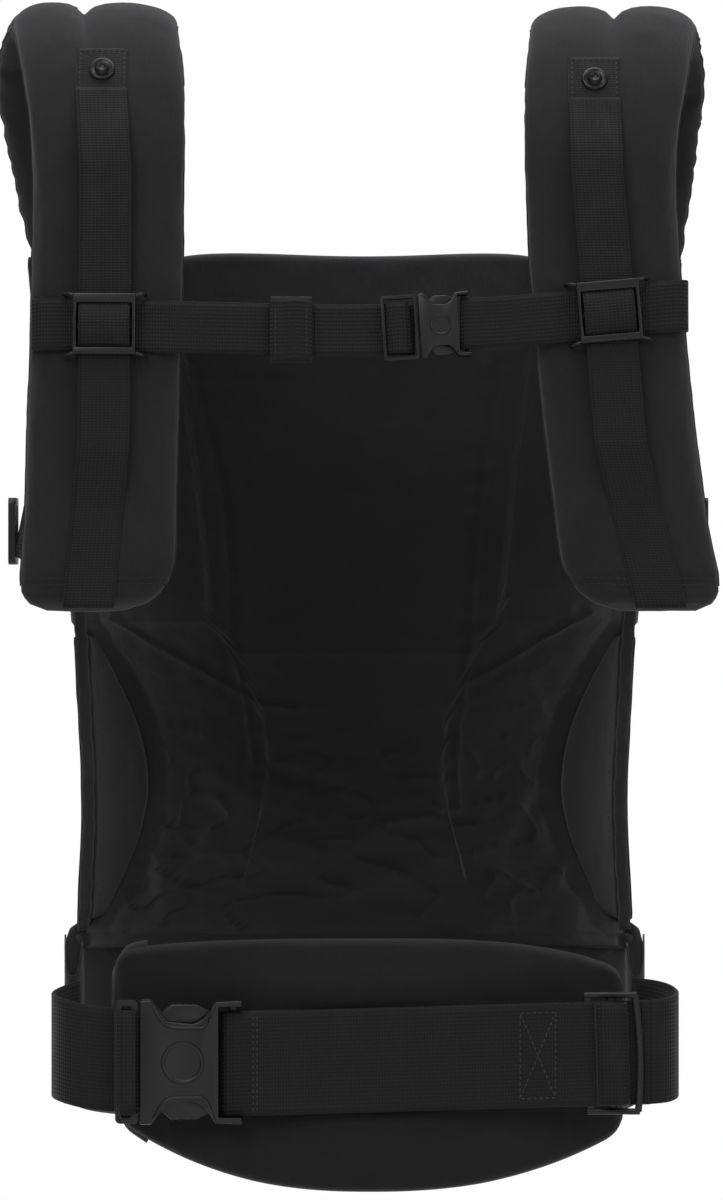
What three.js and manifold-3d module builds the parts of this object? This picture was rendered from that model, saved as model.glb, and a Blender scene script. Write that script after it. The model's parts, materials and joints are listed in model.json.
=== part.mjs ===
// Soft baby carrier with padded shoulder straps, chest strap, moulded seat panel and buckled waist belt.
// Millimetres. +X right, +Y from the belt buckle towards the child panel, +Z up.
// The origin is the centre of the closed waist-belt loop, at mid-height of its webbing.
import * as THREE from "three";
import { mergeVertices } from "three/addons/utils/BufferGeometryUtils.js";
import Module from "manifold-3d";

const wasm = await Module();
wasm.setup();

// ---------- driving dimensions ----------
const CLEAR = 0.35; // gap kept between pieces that touch
const CLOTH = 1.1; // one layer of cover fabric
const CENTRE_X = -3.5; // middle of the panel and waistband
const BELT_WEB = { width: 50, thick: 2.2 };
const CHEST_WEB = { width: 25, thick: 1.8 };
const BELT_FACE_Y = -94.6; // inner face of the belt webbing across the front
const BELT_SLOPE = 0.029; // the belt rises this much per millimetre towards +X
const STRAP_WIDTH = 75;
const STRAP_THICK = 16.5;
const STRAP_CROWN = 4; // how far the strap's outer face bulges
const STRAP_BOTTOM = { y: -75, z: 217 };
const STRAP_BEND = { y: -66, z: 430 }; // where the straight front run turns into the shoulder arch
const REAR_SHARE = 0.8; // share of the way from crest to rear end reached where the arch ends
const CREST_SPREAD = 6; // extra width of a strap on its crest
const STRAP_END = { y: 68, z: 399.6 };
const CHEST_Z = 355; // height of the chest strap on the straps
const FOLD_Z = 363.5; // fold line of the head support
const PANEL_THICK = { lining: CLOTH, padding: 5, outer: CLOTH };
const WAISTBAND_THICK = 15;

const RUN_SLOPE = (STRAP_BEND.y - STRAP_BOTTOM.y) / (STRAP_BEND.z - STRAP_BOTTOM.z);
const RUN_TILT = Math.atan(RUN_SLOPE);

// Across-position of each strap's centre line: at its lower end, at the bend, on the crest and at the rear end.
// rise is the arch's height, tab its stud tab's x and facet in degrees, rail its webbing's x from bottom to top.
const STRAPS = {
  left: {
    bottom: -129, bend: -123.5, crest: -133, end: -131.5, flare: -14, rise: 87,
    tab: { x: -126.5, facet: [24, 44] },
    rail: { bottom: -132, kink: -124.5, top: -123.8 },
  },
  right: {
    bottom: 138, bend: 117, crest: 126, end: 127, flare: 9, rise: 85,
    tab: { x: 113.5, facet: [21, 41] },
    rail: { bottom: 145, kink: 125, top: 114 },
  },
};

// The panel in plan is half an ellipse at every height: half width, y of the side edges, and depth.
const PANEL_STATIONS = [
  { z: 44, half: 131, edge: -22, depth: 112 },
  { z: 120, half: 128, edge: -10, depth: 122 },
  { z: 218, half: 134, edge: 6, depth: 92 },
  { z: 300, half: 147, edge: 32, depth: 44 },
  { z: 362, half: 157, edge: 54, depth: 15 },
  { z: 402, half: 162, edge: 61, depth: 7 },
];
const WING = { low: 50, high: 210, reach: 0.4 };
const PANEL_ROWS = [47, 60, 82, 106, 130, 154, 178, 200, 222, 262, 300, 332];
const HEM_LIFT = 8; // the lower hem rises towards both sides, with the waistband
const PANEL_TOP = { ears: 398.6, middle: FOLD_Z - 0.8 };
const PANEL_COLUMNS = [-1, -0.8, -0.6, -0.43, -0.385, -0.2, 0, 0.2, 0.385, 0.43, 0.6, 0.8, 1];
const EAR_COLUMN = 0.42; // columns beyond this share of the width reach up to the straps

// ---------- materials ----------
const finish = (color, roughness) => new THREE.MeshStandardMaterial({ color, roughness, metalness: 0 });
const cotton = finish(0x1d1d1f, 0.9);
const lining = finish(0x141519, 0.95);
const foam = finish(0x4a4a4c, 0.9);
const webbing = finish(0x222226, 0.75);
const plastic = finish(0x2e2e30, 0.4);

const carrier = new THREE.Group();

function add(name, geometry, material, parent = carrier) {
  const mesh = new THREE.Mesh(geometry, material);
  mesh.name = name;
  parent.add(mesh);
  return mesh;
}

// ---------- shape helpers ----------
const lerp = THREE.MathUtils.lerp;

// Value of a station list at height z, straight between stations.
function stationAt(stations, z) {
  const last = stations.length - 1;
  let i = 0;
  while (i < last - 1 && z > stations[i + 1].z) i += 1;
  const low = stations[i];
  const high = stations[i + 1];
  const t = THREE.MathUtils.clamp((z - low.z) / (high.z - low.z), 0, 1);
  return {
    half: lerp(low.half, high.half, t),
    edge: lerp(low.edge, high.edge, t),
    depth: lerp(low.depth, high.depth, t),
  };
}

// A box bent by place(column, layer, row): columns run along +X, layers outwards, rows upwards.
function bentSlab(columns, rows, place) {
  const box = new THREE.BoxGeometry(columns, 1, rows, columns, 1, rows);
  const p = box.attributes.position;
  for (let i = 0; i < p.count; i += 1) {
    const column = Math.round(p.getX(i) + columns / 2);
    const row = Math.round(p.getZ(i) + rows / 2);
    p.setXYZ(i, ...place(column, p.getY(i) + 0.5, row).toArray());
  }
  matchDiagonals(box);
  box.deleteAttribute("normal");
  box.deleteAttribute("uv");
  return box;
}

// Turns the diagonals of a box's -Y face, so that both faces of a bent slab are creased the same way.
function matchDiagonals(box) {
  const index = box.index;
  const { start, count } = box.groups[3];
  for (let i = start; i < start + count; i += 6) {
    const [a, b, d, c] = [index.getX(i), index.getX(i + 1), index.getX(i + 2), index.getX(i + 4)];
    [a, b, c, a, c, d].forEach((corner, k) => index.setX(i + k, corner));
  }
}

// A flat band along spine. The spine runs down the middle of the band's inner face; across is its width direction.
function ribbon(spine, across, width, thick, lift = 0) {
  const last = spine.length - 1;
  const side = across.clone().normalize();
  const direction = (i) => spine[i + 1].clone().sub(spine[i]).normalize();
  return bentSlab(1, last, (column, layer, row) => {
    const before = direction(Math.max(0, row - 1));
    const after = direction(Math.min(last - 1, row));
    const tangent = before.clone().add(after).normalize();
    const normal = tangent.clone().cross(side).normalize();
    const mitre = 1 / Math.max(0.5, tangent.dot(after));
    return spine[row]
      .clone()
      .addScaledVector(side, (column - 0.5) * width)
      .addScaledVector(normal, (lift + layer * thick) * mitre);
  });
}

// An outline in the XZ plane, extruded so that it fills y from back - depth to back.
function plate(shape, depth, back = 0, curveSegments = 5) {
  const geometry = new THREE.ExtrudeGeometry(shape, { depth, bevelEnabled: false, curveSegments });
  geometry.rotateX(Math.PI / 2);
  geometry.translate(0, back, 0);
  return geometry;
}

function box(x0, x1, y0, y1, z0, z1) {
  const geometry = new THREE.BoxGeometry(x1 - x0, y1 - y0, z1 - z0);
  geometry.translate((x0 + x1) / 2, (y0 + y1) / 2, (z0 + z1) / 2);
  return geometry;
}

function outline(points) {
  return new THREE.Shape(points.map(([x, z]) => new THREE.Vector2(x, z)));
}

function rounded(x0, x1, z0, z1, r, shape = new THREE.Shape()) {
  shape.moveTo(x0 + r, z0);
  shape.lineTo(x1 - r, z0);
  shape.absarc(x1 - r, z0 + r, r, -Math.PI / 2, 0);
  shape.lineTo(x1, z1 - r);
  shape.absarc(x1 - r, z1 - r, r, 0, Math.PI / 2);
  shape.lineTo(x0 + r, z1);
  shape.absarc(x0 + r, z1 - r, r, Math.PI / 2, Math.PI);
  shape.lineTo(x0, z0 + r);
  shape.absarc(x0 + r, z0 + r, r, Math.PI, 1.5 * Math.PI);
  return shape;
}

function toSolid(geometry) {
  const bare = geometry.index ? geometry.clone() : geometry;
  bare.deleteAttribute("normal");
  bare.deleteAttribute("uv");
  const merged = mergeVertices(bare, 1e-4);
  return new wasm.Manifold(
    new wasm.Mesh({
      numProp: 3,
      vertProperties: new Float32Array(merged.attributes.position.array),
      triVerts: new Uint32Array(merged.index.array),
    }),
  );
}

function toGeometry(solid) {
  const mesh = solid.getMesh();
  const geometry = new THREE.BufferGeometry();
  geometry.setAttribute("position", new THREE.BufferAttribute(mesh.vertProperties, 3));
  geometry.setIndex(new THREE.BufferAttribute(mesh.triVerts, 1));
  return geometry;
}

const join = (...geometries) =>
  toGeometry(geometries.map(toSolid).reduce((whole, next) => whole.add(next)));
const cut = (geometry, ...tools) =>
  toGeometry(tools.map(toSolid).reduce((whole, next) => whole.subtract(next), toSolid(geometry)));

// ---------- panel ----------
// Point on the panel: share -1..1 across, height z, and distance outwards from the lining's inner face.
function panelPoint(share, z, outwards) {
  const { half, edge, depth } = stationAt(PANEL_STATIONS, z);
  const angle = (share * Math.PI) / 2;
  const normal = new THREE.Vector2(depth * Math.sin(angle), half * Math.cos(angle)).normalize();
  return new THREE.Vector3(
    CENTRE_X + half * Math.sin(angle) + normal.x * outwards,
    edge + depth * Math.cos(angle) + normal.y * outwards,
    z,
  );
}

// Share of the half width that the centre panel takes; the leg wings take the rest.
function panelReach(z) {
  const along = THREE.MathUtils.clamp((z - WING.low) / (WING.high - WING.low), 0, 1);
  return 1 - WING.reach * Math.pow(Math.sin(Math.PI * along), 0.6);
}

function panelLayer(from, to) {
  const rows = PANEL_ROWS.length;
  return bentSlab(PANEL_COLUMNS.length - 1, rows, (column, layer, row) => {
    const share = PANEL_COLUMNS[column];
    const top = Math.abs(share) > EAR_COLUMN ? PANEL_TOP.ears : PANEL_TOP.middle;
    const hem = row === 0 ? HEM_LIFT * share * share : 0;
    const z = row < rows ? PANEL_ROWS[row] + hem : top;
    return panelPoint(share * panelReach(z), z, lerp(from, to, layer));
  });
}

const layerStart = {
  padding: PANEL_THICK.lining + CLEAR,
  outer: PANEL_THICK.lining + PANEL_THICK.padding + 2 * CLEAR,
};
const panelDepth = layerStart.outer + PANEL_THICK.outer;

add("panel_lining", panelLayer(0, PANEL_THICK.lining), lining);
add("panel_padding", panelLayer(layerStart.padding, layerStart.padding + PANEL_THICK.padding), foam);
add("panel_outer_shell", panelLayer(layerStart.outer, panelDepth), cotton);

// Padded wing beside each leg opening, between the centre panel's side seam and the free edge.
function legWing(side) {
  const rows = PANEL_ROWS.filter((z) => z > WING.low && z < WING.high);
  const seam = 0.012;
  return bentSlab(3, rows.length - 1, (column, layer, row) => {
    const inner = panelReach(rows[row]) + seam;
    const share = side < 0 ? lerp(-1, -inner, column / 3) : lerp(inner, 1, column / 3);
    return panelPoint(share, rows[row], lerp(0, panelDepth, layer));
  });
}

// Elastic binding along each free side edge, from the waistband to the strap.
function edgeBinding(side) {
  const heights = [...PANEL_ROWS.slice(1), PANEL_TOP.ears - 1];
  const points = heights.map((z) => panelPoint(side, z, panelDepth / 2).add(new THREE.Vector3(0, -5, 0)));
  const route = new THREE.CatmullRomCurve3(points);
  const section = new THREE.Shape();
  section.absarc(0, 0, 3, 0, 2 * Math.PI);
  return new THREE.ExtrudeGeometry(section, { steps: 14, extrudePath: route, curveSegments: 4 });
}

for (const [name, side] of [["left", -1], ["right", 1]]) {
  add(`${name}_leg_wing`, legWing(side), cotton);
  add(`${name}_edge_binding`, edgeBinding(side), cotton);
}

// Head support above the fold line: lining, foam and outer cover, all on one hinge.
function headSupportLayer(from, to) {
  const shares = [-0.365, -0.19, 0, 0.19, 0.365];
  const heights = [FOLD_Z + 0.8, 384, 401.4];
  return bentSlab(4, 2, (column, layer, row) =>
    panelPoint(shares[column], heights[row], lerp(from, to, layer)),
  );
}

const headSupport = new THREE.Group();
carrier.add(headSupport);
add("head_support_lining", headSupportLayer(0, PANEL_THICK.lining), lining, headSupport);
add(
  "head_support_foam",
  headSupportLayer(layerStart.padding, layerStart.padding + PANEL_THICK.padding),
  foam,
  headSupport,
);
add("head_support_cover", headSupportLayer(layerStart.outer, panelDepth), cotton, headSupport);

// Hood pocket on the outer face, closed by a short zip along its top.
function outerPatch(shares, heights, from, to) {
  return bentSlab(shares.length - 1, heights.length - 1, (column, layer, row) =>
    panelPoint(shares[column], heights[row], panelDepth + lerp(from, to, layer)),
  );
}

const POCKET = { shares: [-0.385, -0.2, 0, 0.2, 0.385], heights: [222, 262, 300] };
const ZIP = { shares: [-0.2, 0, 0.2], heights: [303, 314], start: -38 };
add("hood_pocket", outerPatch(POCKET.shares, POCKET.heights, 0.8, 3.8), cotton);
add("zip_tape", outerPatch(ZIP.shares, ZIP.heights, 0.8, 1.8), cotton);
const zipFaceY = panelPoint(0, ZIP.heights[0], panelDepth + 1.8).y + 2.2;
const zipBody = box(-5, 5, 0, 3, 304.5, 312.5);
const zipBail = box(-1.6, 1.6, 2.9, 5.4, 306, 310);
const zipPull = box(-2.2, 2.2, 4, 5.4, 289, 309);
add("zip_slider", join(join(zipBody, zipBail), zipPull), plastic).position.set(CENTRE_X + ZIP.start, zipFaceY, 0);

// ---------- waistband ----------
// Share -1..1 around the wearer's front, level 0..1 from bottom to top, depth 0..1 from inner to outer face.
function waistbandPoint(share, level, through) {
  const angle = (share * Math.PI) / 2;
  const half = 135.5;
  const depth = 118;
  const thick = WAISTBAND_THICK * (1 - 0.5 * share * share);
  const normal = new THREE.Vector2(depth * Math.sin(angle), half * Math.cos(angle)).normalize();
  const low = lerp(-50, -26, share * share);
  const high = lerp(44, 52, share * share);
  return new THREE.Vector3(
    CENTRE_X + half * Math.sin(angle) + normal.x * thick * through,
    -30 + depth * Math.cos(angle) + normal.y * thick * through,
    lerp(low, high, level),
  );
}

function waistbandLayer(from, to) {
  return bentSlab(14, 3, (column, layer, row) =>
    waistbandPoint(column / 7 - 1, row / 3, lerp(from, to, layer)),
  );
}

add("waistband_inner_cover", waistbandLayer(0, 0.08), cotton);
add("waistband_foam", waistbandLayer(0.12, 0.86), foam);
add("waistband_outer_cover", waistbandLayer(0.9, 1), cotton);

// ---------- shoulder straps ----------
const FRONT_STOPS = [0, 0.34, 0.67, 1]; // shares of the straight run
const ARCH_STOPS = { low: 11, high: [60, 75, 90] }; // degrees round the arch, either side of the tab's facet
const REAR_STOPS = [105, 120, 135, 150, 165, 180];

// Frame on a strap's centre line: point on the nominal outer face and the inward direction.
function runFrame(strap, share) {
  return {
    x: lerp(strap.bottom, strap.bend, 1 - Math.pow(1 - share, 1.6)),
    y: lerp(STRAP_BOTTOM.y, STRAP_BEND.y, share),
    z: lerp(STRAP_BOTTOM.z, STRAP_BEND.z, share),
    inward: new THREE.Vector3(0, Math.cos(RUN_TILT), -Math.sin(RUN_TILT)),
  };
}

function archFrame(strap, degrees) {
  const angle = THREE.MathUtils.degToRad(degrees);
  const radius = -STRAP_BEND.y;
  const tangent = new THREE.Vector2(radius * Math.sin(angle), strap.rise * Math.cos(angle)).normalize();
  const front = degrees <= 90;
  const share = front ? Math.sin(angle) ** 2 : ((degrees - 90) / 90) * REAR_SHARE;
  const x = front
    ? lerp(strap.bend, strap.crest, share)
    : lerp(strap.crest, strap.end, share) + strap.flare * Math.sin(Math.PI * share);
  return {
    x,
    y: -radius * Math.cos(angle),
    z: STRAP_BEND.z + strap.rise * Math.sin(angle),
    inward: new THREE.Vector3(0, tangent.y, -tangent.x),
  };
}

function strapFrames(strap, half) {
  if (half === "front") {
    const run = FRONT_STOPS.map((share) => runFrame(strap, share));
    const stops = [ARCH_STOPS.low, ...strap.tab.facet, ...ARCH_STOPS.high];
    return [...run, ...stops.map((degrees) => archFrame(strap, degrees))];
  }
  const arch = [90, ...REAR_STOPS].map((degrees) => archFrame(strap, degrees));
  const end = { x: strap.end, ...STRAP_END, inward: new THREE.Vector3(0, -1, 0) };
  return [...arch, end];
}

// One layer of a strap half, from and to being shares of the thickness, outer face to inner face.
function strapLayer(strap, half, from, to) {
  const frames = strapFrames(strap, half);
  const last = frames.length - 1;
  return bentSlab(3, last, (column, layer, row) => {
    const frame = frames[row];
    const isBottom = half === "front" && row === 0;
    const spread = CREST_SPREAD * Math.max(0, (frame.z - STRAP_BEND.z) / strap.rise);
    const width = isBottom ? STRAP_WIDTH * 0.86 : STRAP_WIDTH + spread;
    const offCentre = Math.abs(column - 1.5) / 1.5;
    const outer = -STRAP_CROWN * (1 - offCentre * offCentre);
    const depth = lerp(outer, STRAP_THICK, lerp(from, to, layer));
    const gap = half === "front" ? -0.4 : 0.4;
    const shift = frame.inward.z === -1 || row === (half === "front" ? last : 0) ? gap : 0;
    return new THREE.Vector3(frame.x + (column / 3 - 0.5) * width, frame.y + shift, frame.z)
      .addScaledVector(frame.inward, depth);
  });
}

const STRAP_LAYERS = [
  ["cover", 0, 0.07, cotton],
  ["foam", 0.1, 0.9, foam],
  ["lining", 0.93, 1, lining],
];

// Height of the strap's middle third above the nominal outer face.
const MIDDLE_CROWN = STRAP_CROWN * (1 - 1 / 9);
const RAIL_LIFT = 5.8; // the rail webbing stands clear so that the chest strap passes behind it
const KINK = 0.38; // share of the run above which the rail webbing is straight and lifted

// X of the rail webbing at a share of the straight run: straight above its kink, slanting below it.
function railX(strap, share) {
  const { bottom, kink, top } = strap.rail;
  return share < KINK ? lerp(bottom, kink, share / KINK) : lerp(kink, top, (share - KINK) / (1 - KINK));
}

function railWebbing(strap) {
  const spine = [0.02, 0.29, KINK, 1].map((share, i) => {
    const frame = runFrame(strap, share);
    const lift = MIDDLE_CROWN + (i < 2 ? CLEAR : RAIL_LIFT);
    return new THREE.Vector3(railX(strap, share), frame.y, frame.z).addScaledVector(frame.inward, -lift);
  });
  const end = strap.tab.facet[0] - 1.5;
  for (const [degrees, lift] of [[end / 2, 3], [end, CLEAR]]) {
    const frame = archFrame(strap, degrees);
    const point = new THREE.Vector3(lerp(strap.rail.top, strap.tab.x, degrees / end), frame.y, frame.z);
    spine.push(point.addScaledVector(frame.inward, -MIDDLE_CROWN - lift));
  }
  return ribbon(spine, new THREE.Vector3(-1, 0, 0), CHEST_WEB.width, CHEST_WEB.thick);
}

// Fabric tab that holds the press stud, on its own flat facet of the arch.
function tabGroup(strap) {
  const [low, high] = strap.tab.facet.map((degrees) => archFrame(strap, degrees));
  const group = new THREE.Group();
  group.position.set(strap.tab.x, (low.y + high.y) / 2, (low.z + high.z) / 2);
  group.rotation.x = -Math.atan2(high.y - low.y, high.z - low.z);
  return group;
}

function studCap() {
  const profile = [[0, 0], [5.6, 0], [5.6, 1.2], [4.4, 2.4], [0, 2.4]].map(([r, h]) => new THREE.Vector2(r, h));
  const cap = new THREE.LatheGeometry(profile, 16);
  cap.rotateX(Math.PI);
  return cap;
}

for (const [name, strap] of Object.entries(STRAPS)) {
  for (const half of ["front", "rear"]) {
    for (const [layer, from, to, material] of STRAP_LAYERS) {
      add(`${name}_strap_${half}_${layer}`, strapLayer(strap, half, from, to), material);
    }
  }
  add(`${name}_rail_webbing`, railWebbing(strap), webbing);
  const tab = tabGroup(strap);
  carrier.add(tab);
  const faceY = -MIDDLE_CROWN - 1.1;
  add(`${name}_stud_tab`, box(-13, 13, faceY - 1.6, faceY, -12, 12), webbing, tab);
  add(`${name}_press_stud`, studCap(), plastic, tab).position.set(0, faceY - 1.6 - CLEAR, 0);
}

// ---------- shoulder adjusters ----------
// Webbing from the strap's lower end back to the panel's side edge, with a ladder-lock frame on it.
function sideWebbing(side) {
  const route = side < 0
    ? [[-153, 9, 260], [-162, -2, 259], [-168, -18, 257], [-166, -34, 255], [-159, -47, 252], [-146, -55, 248]]
    : [[150, -53, 248], [158, -46, 252], [164, -34, 255], [164, -18, 257], [157, -2, 259], [148, 9, 260]];
  const spine = route.map(([x, y, z]) => new THREE.Vector3(x, y, z));
  return ribbon(spine, new THREE.Vector3(0, 0, 1), CHEST_WEB.width, CHEST_WEB.thick);
}

function ladderLock(width, length, thick) {
  const half = width / 2 + 4;
  const frame = rounded(-length / 2, length / 2, -half, half, 3);
  for (const x of [-length / 2 + 3.2, 1.4]) {
    frame.holes.push(rounded(x, x + length / 2 - 4.6, -width / 2 - 0.6, width / 2 + 0.6, 1, new THREE.Path()));
  }
  return plate(frame, thick, thick / 2, 3);
}

for (const [name, side, x] of [["left", -1, -172.4], ["right", 1, 169.2]]) {
  add(`${name}_side_webbing`, sideWebbing(side), webbing);
  const adjuster = add(`${name}_strap_adjuster`, ladderLock(25, 20, 3.6), plastic);
  adjuster.rotation.z = Math.PI / 2;
  adjuster.position.set(x, -26, 256);
}

// ---------- waist belt ----------
const beltHeight = (x) => -0.5 + BELT_SLOPE * (x + 61);
const up = new THREE.Vector3(0, 0, 1);
const at = (x, y, z) => new THREE.Vector3(x, y, z);

// Front webbing: sewn tail behind, fold round the buckle's bar, then the long run to the right.
function frontWebbing() {
  const fold = [[-30, 3.6], [-64.1, 3.6], [-65.4, 2.9], [-65.9, 1.8], [-65.4, 0.7], [-64.1, 0], [138.2, 0]];
  const spine = fold.map(([x, back]) => at(x, BELT_FACE_Y + back, beltHeight(x)));
  return ribbon(spine, up, BELT_WEB.width, BELT_WEB.thick);
}

function loopWebbing(route) {
  return ribbon(route.map((p) => at(...p)), up, BELT_WEB.width, BELT_WEB.thick);
}

const LEFT_LOOP = [
  [-138.5, -33, 9], [-143.5, -42, 8], [-147.6, -56, 7], [-148.2, -70, 6],
  [-144, -82, 5], [-134, -89.3, 3], [-122, -90.7, 1.5], [-107.5, -90.7, 0.8],
];
const RIGHT_LOOP = [
  [139, BELT_FACE_Y, 5.3], [145.5, -91.5, 5.8], [150, -84, 6.6],
  [151.5, -70, 7.8], [149, -54, 9.2], [143, -41, 10], [134, -33, 10.5],
];

add("front_waist_webbing", frontWebbing(), webbing);
add("right_waist_webbing", loopWebbing(RIGHT_LOOP), webbing);

// Slide adjuster: an outer bar in front of the webbing, a centre and an inner bar behind it, rails at both edges.
function triGlide(web, length, bar) {
  const half = web.width / 2 + 1;
  const front = -web.thick - CLEAR;
  const rail = 3.2;
  const rails = [-1, 1].map((side) => {
    const low = Math.min(side * half, side * (half + rail));
    return plate(rounded(-length / 2, length / 2, low, low + rail, 1.2), CLEAR + 2.6 - front + 2.8, CLEAR + 2.6, 3);
  });
  const outer = box(length / 2 - bar, length / 2, front - 2.8, front, -half - 1, half + 1);
  const behind = [-length / 2, -2.6].map((x) => box(x, x + bar, CLEAR, CLEAR + 2.6, -half - 1, half + 1));
  return join(...rails, outer, ...behind);
}

const triGlideX = 120.5;
const glide = add("waist_triglide", triGlide(BELT_WEB, 27, 5), plastic);
glide.position.set(triGlideX, BELT_FACE_Y, beltHeight(triGlideX));
glide.rotation.y = -Math.atan(BELT_SLOPE);

// ---------- side-release buckles ----------
// Drawn for the 50 mm belt with the mouth at x = 0 and the socket towards +X, then scaled for the chest strap.
const BUCKLE = { half: 29.6, thick: 12, slot: 5.2, window: 26.6, length: 49 };

function socketOutline() {
  const { half, length } = BUCKLE;
  const shape = new THREE.Shape();
  shape.moveTo(0, -half);
  shape.lineTo(5.5, -half);
  shape.lineTo(13, -19.5);
  shape.lineTo(25, -18.5);
  shape.quadraticCurveTo(31, -19.5, 36, 0.6 - half);
  shape.lineTo(length, -half);
  shape.lineTo(length, half);
  shape.lineTo(36, half - 0.6);
  shape.quadraticCurveTo(31, 19.5, 25, 18.5);
  shape.lineTo(13, 19.5);
  shape.lineTo(5.5, half);
  shape.lineTo(0, half);
  return shape;
}

// Socket half: two face plates joined at the far end, with a window and a bar for its webbing.
function buckleSocket() {
  const { thick, slot, window, length } = BUCKLE;
  const body = cut(
    plate(socketOutline(), thick, thick / 2, 4),
    box(-1, 28, -slot / 2, slot / 2, -40, 40),
    box(27, 35.6, -slot / 2, slot / 2, 13.5, 40),
    box(27, 35.6, -slot / 2, slot / 2, -40, -13.5),
    box(37.6, length + 1, -thick, thick, -window, window),
  );
  return join(body, box(42.4, 46.6, 1.8, 4.5, -window - 1, window + 1));
}

// Plug half: ladder frame for the webbing and a centre tongue that guides it into the socket.
function bucklePlug(frameLength) {
  const { half, window } = BUCKLE;
  const frame = rounded(-frameLength, -0.8, -half, half, 2.5);
  frame.holes.push(rounded(-frameLength + 3, -4.4, -window, window, 1, new THREE.Path()));
  const tongue = outline([[-2, -9.5], [22, -7], [24, -4], [24, 4], [22, 7], [-2, 9.5]]);
  return join(plate(frame, 5.2, 2.6, 3), plate(tongue, 4.2, 2.1));
}

// Release arm: springs from the plug beside the tongue and ends in the thumb pad seen in the socket's cut-out.
function releaseArm(side) {
  const points = [[0.2, 13], [12, 14.5], [22, 17], [33, 21], [33.5, 24.5], [27, 27.4], [15, 27.6], [11, 24.5], [6, 18], [0.2, 17.5]];
  const placed = points.map(([x, z]) => [x, z * side]);
  if (side < 0) placed.reverse();
  return plate(outline(placed), 4.2, 2.1);
}

function addBuckle(prefix, parent, scale, frameLength) {
  const group = new THREE.Group();
  group.scale.set(...scale);
  parent.add(group);
  add(`${prefix}_buckle_socket`, buckleSocket(), plastic, group);
  add(`${prefix}_buckle_plug`, bucklePlug(frameLength / scale[0]), plastic, group);
  add(`${prefix}_release_arm_upper`, releaseArm(1), plastic, group);
  add(`${prefix}_release_arm_lower`, releaseArm(-1), plastic, group);
  return group;
}

const waistBuckle = addBuckle("waist", carrier, [1, 1, 1], 12);
waistBuckle.position.set(-106, -96, 0.8);
add("left_waist_webbing", loopWebbing(LEFT_LOOP), webbing);

// ---------- lumbar pad ----------
const LUMBAR_COLUMNS = [-121, -104, -80, -52, -26, 3, 30, 56, 84, 110, 128];
const LUMBAR_LEVELS = [0, 0.12, 0.5, 0.88, 1];

// through 0 is the face under the belt webbing, 1 the face against the wearer, which is flat in the middle.
function lumbarPoint(x, level, through) {
  const reach = (x - 3.5) / 124.5;
  const top = 61 - (x < 0 ? 10 : 19) * Math.abs(reach) ** 3;
  const bottom = -66 + (x < 0 ? 35 : 29) * Math.abs(reach) ** 2.4;
  const face = -88 + 27 * reach * reach;
  const back = -62 + 16 * Math.max(0, Math.abs(reach) - 0.43) / 0.57;
  const rim = level === 0 || level === 1 ? 0.22 : 0;
  return at(x, lerp(face, back, rim + (1 - 2 * rim) * through), lerp(bottom, top, level));
}

function lumbarLayer(from, to) {
  return bentSlab(LUMBAR_COLUMNS.length - 1, 4, (column, layer, row) =>
    lumbarPoint(LUMBAR_COLUMNS[column], LUMBAR_LEVELS[row], lerp(from, to, layer)),
  );
}

const lumbar = new THREE.Group();
carrier.add(lumbar);
add("lumbar_pad_front_cover", lumbarLayer(0, 0.05), cotton, lumbar);
add("lumbar_pad_foam", lumbarLayer(0.08, 0.92), foam, lumbar);
add("lumbar_pad_back_cover", lumbarLayer(0.95, 1), cotton, lumbar);

// Elastic band round the pad's left end, on the belt side.
function lumbarEndBand() {
  return bentSlab(1, 2, (column, layer, row) => {
    const x = lerp(-120.5, -106, column);
    const level = [0.12, 0.5, 0.88][row];
    return lumbarPoint(x, level, 0).add(at(0, lerp(-2.6, -1.2, layer), 0));
  });
}
add("lumbar_end_band", lumbarEndBand(), webbing, lumbar);

// ---------- chest strap ----------
// Its group's origin lies on the straps' outer faces at CHEST_Z; local -Y points away from them, local Z up the run.
const chest = new THREE.Group();
const chestShare = (CHEST_Z - STRAP_BOTTOM.z) / (STRAP_BEND.z - STRAP_BOTTOM.z);
const chestFaceY = lerp(STRAP_BOTTOM.y, STRAP_BEND.y, chestShare) - MIDDLE_CROWN;
chest.position.set(0, chestFaceY, CHEST_Z);
chest.rotation.x = -RUN_TILT;
carrier.add(chest);

const CHEST_BACK = -0.5; // inner face of the chest webbing
const chestRun = (points) =>
  ribbon(points.map(([x, z]) => at(x, CHEST_BACK, z)), up, CHEST_WEB.width, CHEST_WEB.thick);
add("chest_webbing_left", chestRun([[-158, 0.5], [-123, 0], [-60, -1.5], [-20, -2.5], [26, -2.2]]), webbing, chest);
const RIGHT_CHEST = [[72, 1.8], [98, 4.1], [157, 9.9]];
const barEnd = [at(47.6, -3.95, 0.2), at(55, -3.95, 0.6), at(65, -1.2, 1.3)];
const rightChest = [...barEnd, ...RIGHT_CHEST.map(([x, z]) => at(x, CHEST_BACK, z))];
add("chest_webbing_right", ribbon(rightChest, up, CHEST_WEB.width, CHEST_WEB.thick), webbing, chest);

const chestBuckle = addBuckle("chest", chest, [0.5, 0.75, 0.53], 18);
chestBuckle.position.set(28, -4.9, -1.2);
chestBuckle.rotation.y = -THREE.MathUtils.degToRad(3.5);

// Folded elastic keeper that holds the webbing's spare end.
const keeperHalf = CHEST_WEB.width / 2 + 1.2;
const keeper = cut(
  box(-10, 10, CHEST_BACK - CHEST_WEB.thick - 2.4, CHEST_BACK + 2, -keeperHalf - 1.6, keeperHalf + 1.6),
  box(-11, 11, CHEST_BACK - CHEST_WEB.thick - 0.8, CHEST_BACK + 0.8, -keeperHalf, keeperHalf),
);
add("chest_keeper", keeper, webbing, chest).position.set(-34, 0, -2.2);

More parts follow.
